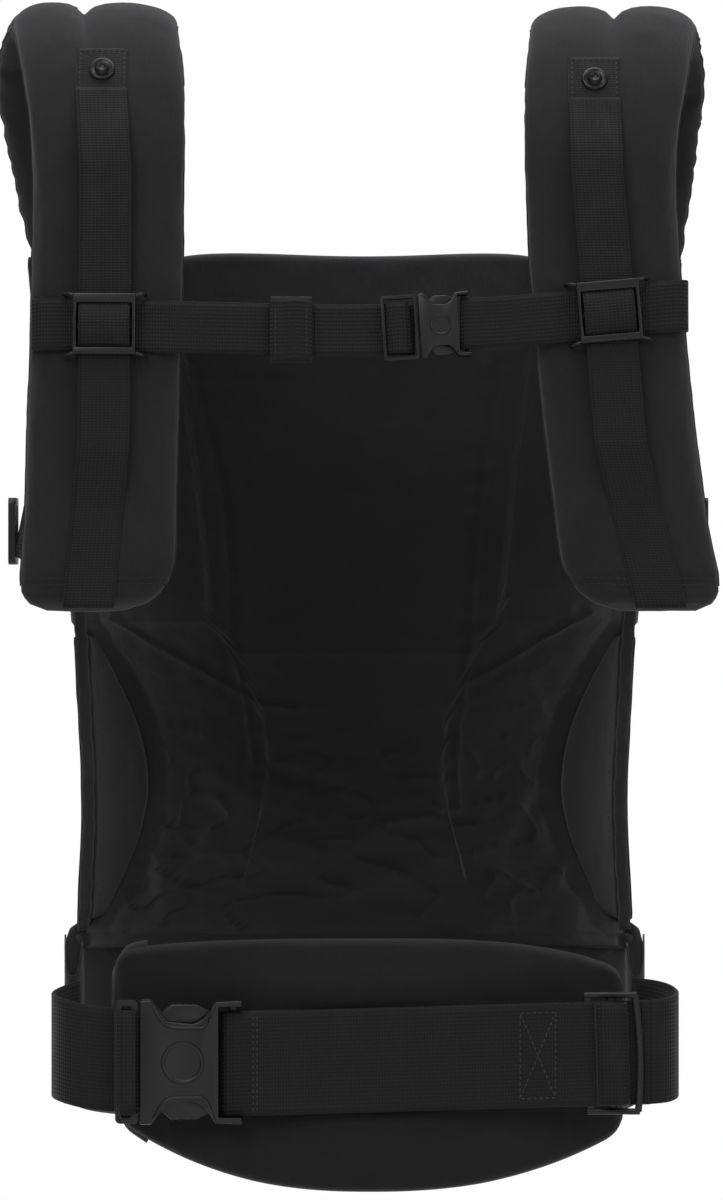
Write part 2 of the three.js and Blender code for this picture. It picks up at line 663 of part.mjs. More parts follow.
// Slider on each rail webbing: centre bar behind the rail, face bars in front of it, hooks round the chest strap.
function chestSlider() {
  const half = CHEST_WEB.width / 2;
  const railBack = -RAIL_LIFT;
  const railFront = railBack - CHEST_WEB.thick;
  const inner = half + 0.9;
  const outer = inner + 2.2;
  const reach = 15.4;
  const bars = [-1, 1].map((s) => {
    const low = Math.min(s * reach, s * (reach - 4.5));
    return box(-outer, outer, railFront - CLEAR - 2.2, railFront - CLEAR, low, low + 4.5);
  });
  const cheeks = [-1, 1].map((s) => {
    const low = Math.min(s * inner, s * outer);
    return box(low, low + 2.2, railFront - CLEAR - 2.2, railBack + CLEAR + 2.4, -reach, reach);
  });
  const centre = box(-outer, outer, railBack + CLEAR, railBack + CLEAR + 2.4, -2.4, 2.4);
  const hooks = [];
  for (const sx of [-1, 1]) {
    for (const sz of [-1, 1]) {
      const x = sx < 0 ? [-outer - 4.5, -inner - 0.6] : [inner + 0.6, outer + 4.5];
      const z = sz < 0 ? [-reach, -reach + 2] : [reach - 2, reach];
      hooks.push(box(x[0], x[1], railBack - 0.5, CHEST_BACK - 0.4, z[0], z[1]));
    }
  }
  return join(...bars, ...cheeks, centre, ...hooks);
}

for (const [name, strap, lean] of [["left", STRAPS.left, 0], ["right", STRAPS.right, 6.2]]) {
  const slider = add(`${name}_chest_slider`, chestSlider(), plastic, chest);
  const slant = (strap.rail.top - strap.rail.kink) / ((1 - KINK) * (STRAP_BEND.z - STRAP_BOTTOM.z));
  slider.position.set(railX(strap, chestShare) + slant * lean, 0, lean);
  slider.rotation.y = Math.atan(slant);
}

export default carrier;
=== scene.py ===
# Looks of the soft baby carrier: cloth, padding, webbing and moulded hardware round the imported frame.
# Lengths here are in millimetres in the frame's axes; mesh_object() turns them into metres.
import json
import math

import bmesh
import bpy
import numpy as np
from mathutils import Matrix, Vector, noise

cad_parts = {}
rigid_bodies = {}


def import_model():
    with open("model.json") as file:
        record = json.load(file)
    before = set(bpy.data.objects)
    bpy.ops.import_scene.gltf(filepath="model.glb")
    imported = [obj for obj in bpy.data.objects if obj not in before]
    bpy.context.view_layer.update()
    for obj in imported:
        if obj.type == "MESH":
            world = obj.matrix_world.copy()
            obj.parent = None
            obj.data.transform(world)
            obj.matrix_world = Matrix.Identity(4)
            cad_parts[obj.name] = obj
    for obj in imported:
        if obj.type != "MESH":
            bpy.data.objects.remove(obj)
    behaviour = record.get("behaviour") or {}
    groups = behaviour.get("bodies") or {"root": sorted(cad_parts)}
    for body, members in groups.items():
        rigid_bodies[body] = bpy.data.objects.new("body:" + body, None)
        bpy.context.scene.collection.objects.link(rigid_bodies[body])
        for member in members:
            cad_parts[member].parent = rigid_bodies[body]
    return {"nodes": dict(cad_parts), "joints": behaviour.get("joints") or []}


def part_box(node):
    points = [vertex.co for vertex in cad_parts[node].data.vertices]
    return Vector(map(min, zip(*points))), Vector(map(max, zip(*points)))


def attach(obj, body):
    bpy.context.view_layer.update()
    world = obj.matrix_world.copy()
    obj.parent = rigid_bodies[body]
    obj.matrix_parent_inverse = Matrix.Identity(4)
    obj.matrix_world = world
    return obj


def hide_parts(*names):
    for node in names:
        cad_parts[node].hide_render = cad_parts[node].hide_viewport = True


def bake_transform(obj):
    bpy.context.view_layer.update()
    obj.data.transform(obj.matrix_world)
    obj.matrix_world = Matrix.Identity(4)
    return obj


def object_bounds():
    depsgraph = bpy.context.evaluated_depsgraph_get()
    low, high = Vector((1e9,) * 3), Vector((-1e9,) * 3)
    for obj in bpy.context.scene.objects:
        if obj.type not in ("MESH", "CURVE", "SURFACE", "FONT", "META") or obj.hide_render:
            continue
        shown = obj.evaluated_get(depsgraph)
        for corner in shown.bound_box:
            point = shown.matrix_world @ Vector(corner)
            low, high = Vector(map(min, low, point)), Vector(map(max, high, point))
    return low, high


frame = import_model()
cad_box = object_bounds()
scene = bpy.context.scene
# Without a seed, noise_vector() starts from the clock and the crumpled pieces differ between runs.
noise.seed_set(7)
X_AXIS = np.array([1.0, 0.0, 0.0])
Y_AXIS = np.array([0.0, 1.0, 0.0])
Z_AXIS = np.array([0.0, 0.0, 1.0])


def cad(node):
    """Lowest and highest corner of a CAD node, in millimetres."""
    low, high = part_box(node)
    return np.array(low) * 1000, np.array(high) * 1000


# ---------- driving sizes ----------
BELT_WIDTH, BELT_THICK = 50.0, 2.2
CHEST_WIDTH, CHEST_THICK = 25.0, 1.8
CENTRE_X = (cad("panel_padding")[0][0] + cad("panel_padding")[1][0]) / 2
FOLD_Z = frame["joints"][0]["pos_m"][2] * 1000
FOLD_Y = 0.0785
PANEL_THICK = 7.9
WAISTBAND_THICK = 15.0
LUMBAR_THICK = 26.0
PANEL_BOTTOM = 41.0
PANEL_TOP = {"middle": 362.6, "ears": 398.6}
STRAP_HALF = 37.5
STRAP_THICK = 16.5
STRAP_CROWN = 4.0
RUN_BOTTOM = np.array([-75.0, 217.0])
RUN_BEND = np.array([-66.0, 430.0])
REAR_SHARE = 0.8
CREST_SPREAD = 3.0
STRAP_END = np.array([68.0, 399.6])
MIDDLE_CROWN = STRAP_CROWN * 8 / 9
CHEST_Z = 355.0
END_SEAMS = (12.0, 15.5)
# Across-positions of each strap's centre line, its arch's height, its tab's place and its rail webbing's x.
STRAPS = {
    "left": dict(bottom=-129.0, bend=-123.5, crest=-133.0, end=-131.5, flare=-14.0, rise=87.0,
                 tab_x=-126.5, facet=(24, 44), rail=(-132.0, -124.5, -123.8), cleft=-0.13),
    "right": dict(bottom=138.0, bend=117.0, crest=126.0, end=127.0, flare=9.0, rise=85.0,
                  tab_x=113.5, facet=(21, 41), rail=(145.0, 125.0, 114.0), cleft=0.0),
}
KINK = 0.38
# Height, half width, y of the side edge, and depth of the panel's half-ellipse plan.
PANEL_STATIONS = np.array([
    [44, 131, -22, 112],
    [120, 128, -10, 122],
    [218, 134, 6, 92],
    [300, 147, 32, 44],
    [362, 157, 54, 15],
    [402, 162, 61, 7],
], float)


# ---------- mesh helpers ----------
def mesh_object(name, points, faces, material, thread=None, smooth=True):
    mesh = bpy.data.meshes.new(name)
    mesh.from_pydata((np.asarray(points, float) / 1000).tolist(), [], faces)
    if thread is not None:
        layer = mesh.attributes.new("thread", "FLOAT_VECTOR", "POINT")
        layer.data.foreach_set("vector", np.asarray(thread, np.float32).ravel())
    mesh.polygons.foreach_set("use_smooth", [smooth] * len(mesh.polygons))
    mesh.materials.append(material)
    mesh.update()
    obj = bpy.data.objects.new(name, mesh)
    scene.collection.objects.link(obj)
    return obj


def thread_of(rows, closed=False):
    """Distances across and along a grid of points, used as the direction of its yarns."""
    across = np.zeros(rows.shape[:2])
    along = np.zeros(rows.shape[:2])
    across[:, 1:] = np.linalg.norm(np.diff(rows, axis=1), axis=2).cumsum(1)
    along[1:] = np.linalg.norm(np.diff(rows, axis=0), axis=2).cumsum(0)
    if closed:
        across = np.minimum(across, across[:, -1:] - across + across[:, 1:2])
    middle = np.median(along, axis=1)[:, None]
    return np.stack([across, np.broadcast_to(middle, along.shape), np.zeros_like(along)], 2)


def grid_object(name, rows, material, closed=False, caps=False, thread=None):
    """A surface through rows[i, j]; closed joins the last column to the first, caps fills both ends."""
    count, width = rows.shape[:2]
    span = width if closed else width - 1
    faces = []
    for i in range(count - 1):
        for j in range(span):
            k = (j + 1) % width
            faces.append((i * width + j, i * width + k, (i + 1) * width + k, (i + 1) * width + j))
    if caps:
        faces.append(tuple(reversed(range(width))))
        faces.append(tuple(range((count - 1) * width, count * width)))
    if thread is None:
        thread = thread_of(rows, closed)
    return mesh_object(name, rows.reshape(-1, 3), faces, material, thread.reshape(-1, 3))


def apply_modifier(obj, kind, **settings):
    modifier = obj.modifiers.new(kind.title(), kind)
    for key, value in settings.items():
        setattr(modifier, key, value)
    bpy.context.view_layer.objects.active = obj
    bpy.ops.object.modifier_apply(modifier=modifier.name)
    return obj


def thicken(obj, thickness):
    """Gives an open sheet its cloth thickness in millimetres, on the side away from its normals."""
    return apply_modifier(obj, "SOLIDIFY", thickness=thickness / 1000, offset=-1)


def face_outwards(obj):
    mesh = bmesh.new()
    mesh.from_mesh(obj.data)
    bmesh.ops.recalc_face_normals(mesh, faces=mesh.faces)
    mesh.to_mesh(obj.data)
    mesh.free()
    return obj


def coordinates(obj):
    out = np.zeros(len(obj.data.vertices) * 3, np.float32)
    obj.data.vertices.foreach_get("co", out)
    return out.reshape(-1, 3).astype(float)


def set_coordinates(obj, points):
    obj.data.vertices.foreach_set("co", points.astype(np.float32).ravel())
    obj.data.update()


def hill(value, centre, width):
    """1 at centre, fading smoothly on both sides."""
    return np.exp(-(((value - centre) / width) ** 2))


def round_over(share):
    """Height of a quarter circle at a share of its run, and 1 beyond it."""
    return np.sqrt(1 - (1 - np.clip(share, 0, 1)) ** 2)


def inflate(obj, pressure, cap, steps):
    """Cloth simulation that swells a closed form, moving no point by more than cap millimetres."""
    rest = coordinates(obj)
    cloth = obj.modifiers.new("Cloth", "CLOTH")
    cloth.settings.quality = 6
    cloth.settings.mass = 0.25
    cloth.settings.use_pressure = True
    cloth.settings.uniform_pressure_force = pressure
    cloth.settings.effector_weights.gravity = 0
    cloth.settings.bending_stiffness = 0.4
    cloth.point_cache.frame_end = steps
    for step in range(1, steps + 1):
        scene.frame_set(step)
    shown = obj.evaluated_get(bpy.context.evaluated_depsgraph_get())
    moved = np.zeros(len(rest) * 3, np.float32)
    shown.data.vertices.foreach_get("co", moved)
    obj.modifiers.remove(cloth)
    shift = moved.reshape(-1, 3) - rest
    length = np.linalg.norm(shift, axis=1, keepdims=True) + 1e-12
    shift *= np.minimum(1, cap / 1000 / length)
    set_coordinates(obj, rest + shift)
    scene.frame_set(1)
    return obj


def crumple(points, amount, size, seed):
    """Moves points all ways by smooth noise of the given size in millimetres."""
    flat = points.reshape(-1, 3)
    out = flat.copy()
    for i, p in enumerate(flat):
        spot = Vector((p[0] / size + seed, p[1] / size, p[2] / size))
        out[i] += np.array(noise.noise_vector(spot)) * amount
    return out.reshape(points.shape)


def spline(points, step=2.0):
    """Smooth curve through the points, sampled about every step millimetres."""
    p = np.asarray(points, float)
    p = np.vstack([2 * p[0] - p[1], p, 2 * p[-1] - p[-2]])
    out = []
    for a, b, c, d in zip(p[:-3], p[1:-2], p[2:-1], p[3:]):
        count = max(2, int(np.linalg.norm(c - b) / step))
        for t in np.linspace(0, 1, count, endpoint=False):
            out.append(0.5 * (2 * b + (c - a) * t + (2 * a - 5 * b + 4 * c - d) * t**2
                              + (3 * b - a - 3 * c + d) * t**3))
    out.append(p[-2])
    return np.array(out)


def unit(v):
    return v / (np.linalg.norm(v, axis=-1, keepdims=True) + 1e-12)


def band(name, spine, across, width, thick, material, columns=8):
    """Webbing: a closed flat band whose inner face follows spine; across is its width direction."""
    spine = np.asarray(spine, float)
    side = np.broadcast_to(np.asarray(across, float), spine.shape)
    normal = unit(np.cross(unit(np.gradient(spine, axis=0)), side))
    face = np.linspace(-0.5, 0.5, columns + 1)
    edge = 0.35 / width
    face[0] += edge
    face[-1] -= edge
    ring = [(-0.5, 0.68), (-0.5, 0.32)]
    ring += [(f, 0.0) for f in face]
    ring += [(0.5, 0.32), (0.5, 0.68)]
    ring += [(f, 1.0) for f in face[::-1]]
    rows = np.stack([spine + side * a * width + normal * h * thick for a, h in ring], 1)
    along = np.r_[0, np.linalg.norm(np.diff(spine, axis=0), axis=1).cumsum()]
    yarn = np.zeros(rows.shape)
    yarn[:, :, 0] = [a * width for a, _ in ring]
    yarn[:, :, 1] = along[:, None]
    return grid_object(name, rows, material, closed=True, caps=True, thread=yarn)


def pad_section(power, middle):
    """A flattened ring for a pad: across and outward shares, with extra points at its cleft."""
    front = list(np.cos(np.linspace(0, np.pi, 29)))
    front += [middle + d for d in (-0.09, -0.055, -0.025, 0, 0.025, 0.055, 0.09)]
    front = np.array(sorted(set(np.round(front, 4)), reverse=True))
    back = np.cos(np.linspace(np.pi, 2 * np.pi, 21))[1:-1]
    across = np.concatenate([front, back])
    height = (1 - np.clip(np.abs(across), 0, 1) ** power) ** (1 / power)
    return across, np.where(np.arange(len(across)) < len(front), height, -height)


def tube(name, route, radius, material, sides=8):
    """Round cord or piping along a route."""
    route = np.asarray(route, float)
    tangent = unit(np.gradient(route, axis=0))
    helper = np.where(np.abs(tangent[:, 2:3]) < 0.9, Z_AXIS, X_AXIS)
    u = unit(np.cross(tangent, helper))
    v = np.cross(tangent, u)
    angle = np.linspace(0, 2 * np.pi, sides, endpoint=False)
    rows = np.stack([route + radius * (math.cos(a) * u + math.sin(a) * v) for a in angle], 1)
    return grid_object(name, rows, material, closed=True, caps=True)


# One stitch: its corners along, across and above the seam, and its faces.
STITCH = [
    (-1, 0, 0), (-0.5, 1, 0), (0.5, 1, 0), (1, 0, 0),
    (0.5, -1, 0), (-0.5, -1, 0), (-0.45, 0, 1), (0.45, 0, 1),
]
STITCH_FACES = [(0, 6, 1), (1, 6, 7, 2), (2, 7, 3), (3, 7, 4), (4, 7, 6, 5), (5, 6, 0)]


def stitch_rows(name, routes, normals, material, length=3.2, gap=1.1, radius=0.38):
    """Sewing stitches laid along each route, standing on the surface whose normals are given."""
    points, faces = [], []
    for route, normal in zip(routes, normals):
        route = np.asarray(route, float)
        normal = np.broadcast_to(np.asarray(normal, float), route.shape)
        along = np.r_[0, np.linalg.norm(np.diff(route, axis=0), axis=1).cumsum()]
        for middle in np.arange(length / 2, along[-1] - length / 2, length + gap):
            ends = [np.array([np.interp(middle + k, along, route[:, i]) for i in range(3)])
                    for k in (-length / 2, length / 2)]
            up = unit(np.array([np.interp(middle, along, normal[:, i]) for i in range(3)]))
            centre, half = (ends[0] + ends[1]) / 2, (ends[1] - ends[0]) / 2
            side = unit(np.cross(up, half)) * radius
            base = len(points)
            points += [centre + a * half + b * side + c * up * radius * 1.2 for a, b, c in STITCH]
            faces += [tuple(base + i for i in face) for face in STITCH_FACES]
    return mesh_object(name, points, faces, material)


def select_only(*objects):
    bpy.context.view_layer.objects.active = objects[0]
    for other in bpy.context.selected_objects:
        other.select_set(False)
    for obj in objects:
        obj.select_set(True)


def auto_smooth(obj, degrees):
    select_only(obj)
    bpy.ops.object.shade_smooth_by_angle(angle=math.radians(degrees))
    obj.select_set(False)
    return obj


def round_corners(points, radius, steps=5):
    """A closed outline with each corner replaced by a curve that starts radius before it."""
    p = np.asarray(points, float)
    out = []
    for i, corner in enumerate(p):
        before, after = p[i - 1] - corner, p[(i + 1) % len(p)] - corner
        r = min(radius, np.linalg.norm(before) * 0.45, np.linalg.norm(after) * 0.45)
        a, b = corner + unit(before) * r, corner + unit(after) * r
        for t in np.linspace(0, 1, steps):
            out.append((1 - t) ** 2 * a + 2 * t * (1 - t) * corner + t * t * b)
    return [tuple(q) for q in out]


def finish_piece(obj, body, replaces=()):
    """Hangs a finished piece on its body and hides the CAD nodes it stands for."""
    if body:
        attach(obj, body)
    if replaces:
        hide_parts(*replaces)
    return obj


# ---------- materials ----------
class Tree:
    """Node tree of one material, with short calls for nodes and links."""

    def __init__(self, name, colour, roughness, **values):
        self.material = bpy.data.materials.new(name)
        self.material.use_nodes = True
        self.nodes = self.material.node_tree.nodes
        self.links = self.material.node_tree.links
        self.shader = self.nodes["Principled BSDF"]
        self.set(self.shader, {"Base Color": (*colour, 1), "Roughness": roughness, **values})
        coordinates_node = self.nodes.new("ShaderNodeTexCoord")
        self.place = coordinates_node.outputs["Object"]

    def set(self, node, values):
        for key, value in values.items():
            if hasattr(value, "is_output"):
                self.links.new(value, node.inputs[key])
            else:
                node.inputs[key].default_value = value

    def node(self, kind, output=0, props=None, **values):
        node = self.nodes.new(f"ShaderNode{kind}")
        for key, value in (props or {}).items():
            setattr(node, key, value)
        self.set(node, values)
        return node.outputs[output]

    def math(self, operation, a, b=0.0):
        node = self.nodes.new("ShaderNodeMath")
        node.operation = operation
        for socket, value in zip(node.inputs, (a, b)):
            if hasattr(value, "is_output"):
                self.links.new(value, socket)
            else:
                socket.default_value = value
        return node.outputs[0]

    def thread(self):
        """Yarn directions in millimetres: X across the cloth, Y along it."""
        node = self.nodes.new("ShaderNodeAttribute")
        node.attribute_name = "thread"
        return node.outputs["Vector"]

    def bands(self, vector, axis, pitch, distortion=0.0):
        """Ribs pitch millimetres apart across the given axis of a vector in millimetres."""
        return self.node(
            "TexWave", 1,
            dict(wave_type="BANDS", bands_direction=axis, wave_profile="SIN"),
            Vector=vector, Scale=math.pi / 10 / pitch, Distortion=distortion,
        )

    def noise(self, vector, scale, detail=3.0, roughness=0.55):
        return self.node("TexNoise", 0, Vector=vector, Scale=scale, Detail=detail, Roughness=roughness)

    def stretched(self, vector, x, y, z):
        return self.node("Mapping", 0, Vector=vector, Scale=(x, y, z))

    def bump(self, height, depth, strength=1.0, below=None):
        values = dict(Height=height, Distance=depth, Strength=strength)
        if below is not None:
            values["Normal"] = below
        return self.node("Bump", 0, **values)

    def shades(self, factor, low, high, start=0.3, stop=0.7):
        ramp = self.nodes.new("ShaderNodeValToRGB")
        ramp.color_ramp.elements[0].position = start
        ramp.color_ramp.elements[1].position = stop
        ramp.color_ramp.elements[0].color = (*low, 1)
        ramp.color_ramp.elements[1].color = (*high, 1)
        self.links.new(factor, ramp.inputs[0])
        return ramp.outputs[0]

    def range(self, factor, low, high):
        node = self.nodes.new("ShaderNodeMapRange")
        self.links.new(factor, node.inputs[0])
        node.inputs[3].default_value = low
        node.inputs[4].default_value = high
        return node.outputs[0]

    def finish(self, normal, colour=None, roughness=None):
        values = {"Normal": normal}
        if colour is not None:
            values["Base Color"] = colour
        if roughness is not None:
            values["Roughness"] = roughness
        self.set(self.shader, values)
        return self.material


def tone(value, blue=1.0):
    return (value, value, value * blue)


def canvas(name, value, sheen, pitch=0.62, blue=1.0):
    """Plain cotton weave: warp and weft seen as crossing ribs, slubby and slightly uneven in colour."""
    tree = Tree(name, tone(value, blue), 0.9, **{
        "Sheen Weight": sheen, "Sheen Roughness": 0.45, "Sheen Tint": (0.8, 0.82, 0.86, 1),
        "Specular IOR Level": 0.1,
    })
    yarn = tree.thread()
    warp = tree.bands(yarn, "X", pitch, 0.6)
    weft = tree.bands(yarn, "Y", pitch, 0.6)
    cloth = tree.math("MULTIPLY", warp, weft)
    slub = tree.noise(tree.stretched(yarn, 0.9, 0.16, 1), 1.0, 2)
    soft = tree.noise(tree.place, 38, 4, 0.6)
    fuzz = tree.noise(tree.place, 900, 2, 0.7)
    normal = tree.bump(soft, 0.0012, 0.5)
    normal = tree.bump(slub, 0.0002, 0.6, normal)
    normal = tree.bump(fuzz, 0.00012, 0.7, normal)
    normal = tree.bump(cloth, 0.00012, 1.0, normal)
    mixed = tree.math("ADD", tree.math("MULTIPLY", slub, 0.5), tree.math("MULTIPLY", fuzz, 0.5))
    colour = tree.shades(mixed, tone(value * 0.62, blue), tone(value * 1.5, blue), 0.36, 0.64)
    return tree.finish(normal, colour, tree.range(soft, 0.82, 0.98))


def rib_webbing(name, value):
    """Heavy webbing: cross ribs, lengthwise yarn columns and a tight rolled edge."""
    tree = Tree(name, tone(value, 1.2), 0.7, **{
        "Sheen Weight": 0.02, "Sheen Roughness": 0.4, "Specular IOR Level": 0.07,
    })
    yarn = tree.thread()
    ribs = tree.bands(yarn, "Y", 1.35, 0.5)
    columns = tree.bands(yarn, "X", 1.9, 0.4)
    grid = tree.math("MULTIPLY", ribs, columns)
    fuzz = tree.noise(tree.stretched(yarn, 3.0, 1.2, 1), 1.0, 3, 0.7)
    worn = tree.noise(tree.place, 60, 3)
    normal = tree.bump(fuzz, 0.00018, 0.6)
    normal = tree.bump(grid, 0.00034, 1.0, normal)
    # Colour follows the rib relief, scaled by the random yarn fuzz: painted shade in the grooves between
    # ribs and columns, painted highlight on their tops
    mixed = tree.math("MULTIPLY", grid, tree.range(fuzz, 0.6, 1.4))
    colour = tree.shades(mixed, tone(value * 0.45, 1.2), tone(value * 1.6, 1.2), 0.05, 0.9)
    return tree.finish(normal, colour, tree.range(worn, 0.6, 0.8))


def thread_material(name, value):
    """Twisted sewing thread."""
    tree = Tree(name, tone(value), 0.6, **{"Sheen Weight": 0.05, "Specular IOR Level": 0.12})
    twist = tree.noise(tree.place, 2600, 2)
    colour = tree.shades(twist, tone(value * 0.7), tone(value * 1.3))
    return tree.finish(tree.bump(twist, 0.0001, 0.6), colour)


def moulded_plastic(name, value):
    """Fine-textured acetal, slightly shinier where it is rubbed."""
    tree = Tree(name, tone(value, 1.03), 0.36, **{"Specular IOR Level": 0.1})
    grain = tree.noise(tree.place, 2200, 2, 0.6)
    worn = tree.noise(tree.place, 55, 4)
    normal = tree.bump(grain, 0.00005, 0.5)
    colour = tree.shades(worn, tone(value * 0.85, 1.03), tone(value * 1.2, 1.03))
    return tree.finish(normal, colour, tree.range(worn, 0.3, 0.42))


def foam_material(name):
    """Open-cell foam, seen only between seams."""
    tree = Tree(name, tone(0.012), 0.95)
    cells = tree.node("TexVoronoi", 0, Vector=tree.place, Scale=700)
    # Colour follows the cell relief: painted shade in the sunken cell pits against lighter cell walls
    colour = tree.shades(cells, tone(0.004), tone(0.014), 0.1, 0.8)
    return tree.finish(tree.bump(cells, 0.0004), colour)


COTTON = canvas("strap_cotton", 0.0018, sheen=0.052, blue=1.14)
PANEL_COTTON = canvas("panel_cotton", 0.0028, sheen=0.08, blue=1.14)
# Darker copy of the panel cotton: the wing is the shell's own cloth, its colour partly its own and partly
# painted shade on its inward-turned face; the waistband pad shares this colour
WING_COTTON = canvas("wing_cotton", 0.0012, sheen=0.034)
LINING = canvas("lining_poplin", 0.0014, pitch=0.5, sheen=0.052, blue=1.1)
LUMBAR_CLOTH = canvas("lumbar_cotton", 0.0011, sheen=0.026, blue=1.05)
BELT_CLOTH = rib_webbing("belt_webbing", 0.0017)
CHEST_CLOTH = rib_webbing("strap_webbing", 0.0017)
BINDING = canvas("binding_tape", 0.0022, pitch=0.9, sheen=0.05, blue=1.1)
THREAD = thread_material("sewing_thread", 0.0022)
PLASTIC = moulded_plastic("buckle_acetal", 0.0014)
FOAM = foam_material("inner_foam")

for obj in bpy.data.objects:
    if obj.type == "MESH" and obj.name in frame["nodes"]:
        for slot in obj.material_slots:
            slot.material = FOAM if "foam" in obj.name or "padding" in obj.name else PLASTIC


# ---------- panel ----------
def eased(z, column):
    """A panel station's value at height z, with the bends between stations smoothed."""
    shifts = np.linspace(-20, 20, 9)
    table = [np.interp(z + k, PANEL_STATIONS[:, 0], PANEL_STATIONS[:, column]) for k in shifts]
    return np.mean(table, axis=0)


def panel_point(share, z, out):
    half, edge, depth = (eased(z, k) for k in (1, 2, 3))
    angle = share * np.pi / 2
    s, c = np.sin(angle), np.cos(angle)
    normal = unit(np.stack([depth * s, half * c], -1))
    return np.stack([
        CENTRE_X + half * s + normal[..., 0] * out,
        edge + depth * c + normal[..., 1] * out,
        z + 0 * s,
    ], -1)


def panel_reach(z):
    along = np.clip((z - 50) / 160, 0, 1)
    return 1 - 0.4 * np.sin(np.pi * along) ** 0.6


def near_line(points, route):
    """Distance in X and Z from each point to a polyline, and how far along it the nearest place is."""
    best = np.full(points.shape[:-1], 1e9)
    place_along = np.zeros(points.shape[:-1])
    run = 0.0
    flat = points[..., [0, 2]]
    for a, b in zip(np.asarray(route[:-1], float), np.asarray(route[1:], float)):
        d = b - a
        size = np.linalg.norm(d)
        t = np.clip(((flat - a) @ d) / size**2, 0, 1)
        gap = np.linalg.norm(flat - (a + t[..., None] * d), axis=-1)
        closer = gap < best
        best = np.where(closer, gap, best)
        place_along = np.where(closer, run + t * size, place_along)
        run += size
    return best, place_along, run


def seam_relief(points, route):
    """A sewn seam: a groove with the cloth puckered on both sides of it."""
    gap, along, _ = near_line(points, route)
    groove = -2.0 * hill(gap, 0, 1.3)
    gathers = 0.45 * np.sin(along / 2.6 + 1.5 * np.sin(along / 11)) * hill(gap, 4, 4)
    shoulder = 0.3 * hill(gap, 4.5, 3)
    return groove + shoulder + gathers


def fold_relief(points, start, end, height, width):
    """A soft crease: highest in its middle, fading out at both ends."""
    gap, along, total = near_line(points, [start, end])
    fade = np.sin(np.pi * np.clip(along / total, 0, 1)) ** 0.7
    return height * fade * hill(gap, 0, width)


def noise_field(points, size, seed):
    """Smooth noise from -1 to 1 at each point, with bumps of the given size in millimetres."""
    flat = points.reshape(-1, 3) / size + seed
    return np.array([noise.noise(Vector(p)) for p in flat]).reshape(points.shape[:-1])


LINING_SEAMS = [
    [(-87.3, 345.6), (-71.7, 276), (-69.6, 242.9), (-68.6, 199.6), (-62.3, 171.9), (-58.2, 139.6)],
    [(71.3, 345.6), (61.8, 276), (59.2, 242.9), (58.2, 199.6), (55, 180.3), (50.9, 139.6), (51.9, 113.5)],
    [(-131, 213), (-106.3, 197.8), (-71.2, 178.2), (-54, 168.3), (-36.8, 166.2)],
    [(120.6, 216), (90, 198.5), (58.2, 180.3)],
]
# Start and end of each crease in X and Z, its height and its width.
LINING_FOLDS = [
    [(-58, 136), (-9, 123), 3.0, 4.5], [(-81.6, 84), (-16.4, 71), 3.2, 6], [(35.7, 170), (72, 138), 2.4, 4],
    [(-95, 118), (-60, 98), 2.6, 6], [(10, 96), (66, 112), 3.0, 6], [(-30, 62), (40, 70), 3.2, 7],
    [(60, 88), (104, 76), 2.6, 6], [(-16, 145), (30, 133), 2.0, 5], [(82, 205), (112, 196), 1.6, 4],
    [(-104, 70), (-84, 110), 2.4, 6], [(96, 128), (84, 92), 2.2, 6],
]
SHELL_SEAMS = [
    [(-88, 350), (-74, 290), (-70, 230), (-66, 150), (-70, 60)],
    [(80, 350), (66, 290), (62, 230), (58, 150), (62, 60)],
]


def panel_sheet(name, material, inner, seams, folds, step):
    """One face of the panel, turned over its padding at both sides and hemmed at top and bottom."""
    direction = -1 if inner else 1
    face = 0.0 if inner else PANEL_THICK
    turn = [(1.0, 3.7), (1.0, 2.4), (0.996, 1.1), (0.988, 0.25)]
    shares = np.linspace(-0.98, 0.98, int(300 / step))
    columns = [(-a, d) for a, d in turn] + [(s, 0.0) for s in shares] + [(a, d) for a, d in reversed(turn)]
    share_of = np.array([c[0] for c in columns])
    tuck = np.array([c[1] for c in columns])
    ear = np.clip((np.abs(share_of) - 0.385) / 0.02, 0, 1)
    top = PANEL_TOP["middle"] + (PANEL_TOP["ears"] - PANEL_TOP["middle"]) * ear
    levels = np.linspace(0, 1, int(350 / step))
    rows, heights = [], []
    for level in levels:
        lift = 0.0 if 0 < level < 1 else 1.6
        z = PANEL_BOTTOM + (top - PANEL_BOTTOM) * level
        share = share_of * (panel_reach(z) + 0.009)
        hem = 8 * share**2 * np.clip((70 - z) / 25, 0, 1)
        rows.append(panel_point(share, z + hem, face - direction * (tuck + lift)))
        heights.append(z)
    rows, heights = np.array(rows), np.array(heights)
    middle = np.clip((0.985 - np.abs(share_of)) * 14, 0, 1)[None, :]
    ends = np.clip(np.minimum(heights - PANEL_BOTTOM, top - heights) / 9, 0, 1)
    loft = 4.2 if inner else 2.0
    relief = loft + 1.2 * noise_field(rows, 46, 3.1) + 0.5 * noise_field(rows, 12, 8.2)
    slack = hill(rows[..., 2], 95, 62)
    relief += slack * (3.4 * noise_field(rows, 26, 5.5) + 1.6 * noise_field(rows * [0.8, 1, 2.0], 15, 1.7))
    if inner:
        crease = noise_field(rows * [0.5, 1.0, 1.7], 24, 9.4)
        relief -= (0.25 + slack) * 1.5 * hill(crease, 0, 0.045)
    for start, end, height, width in folds:
        relief += fold_relief(rows, start, end, height, width)
    for route in seams:
        relief += seam_relief(rows, route)
    lowest, highest = (2.2, 8.5) if inner else (2.6, 6.4)
    out = np.gradient(rows, axis=1)
    normal = unit(np.cross(out, Z_AXIS))
    side = np.where(normal[..., 1] < 0, -1, 1)[..., None] * normal * direction
    rows = rows + side * (np.clip(relief, lowest, highest) * middle * ends)[..., None]
    obj = face_towards(grid_object(name, rows, material), direction)
    return thicken(obj, 1.0)


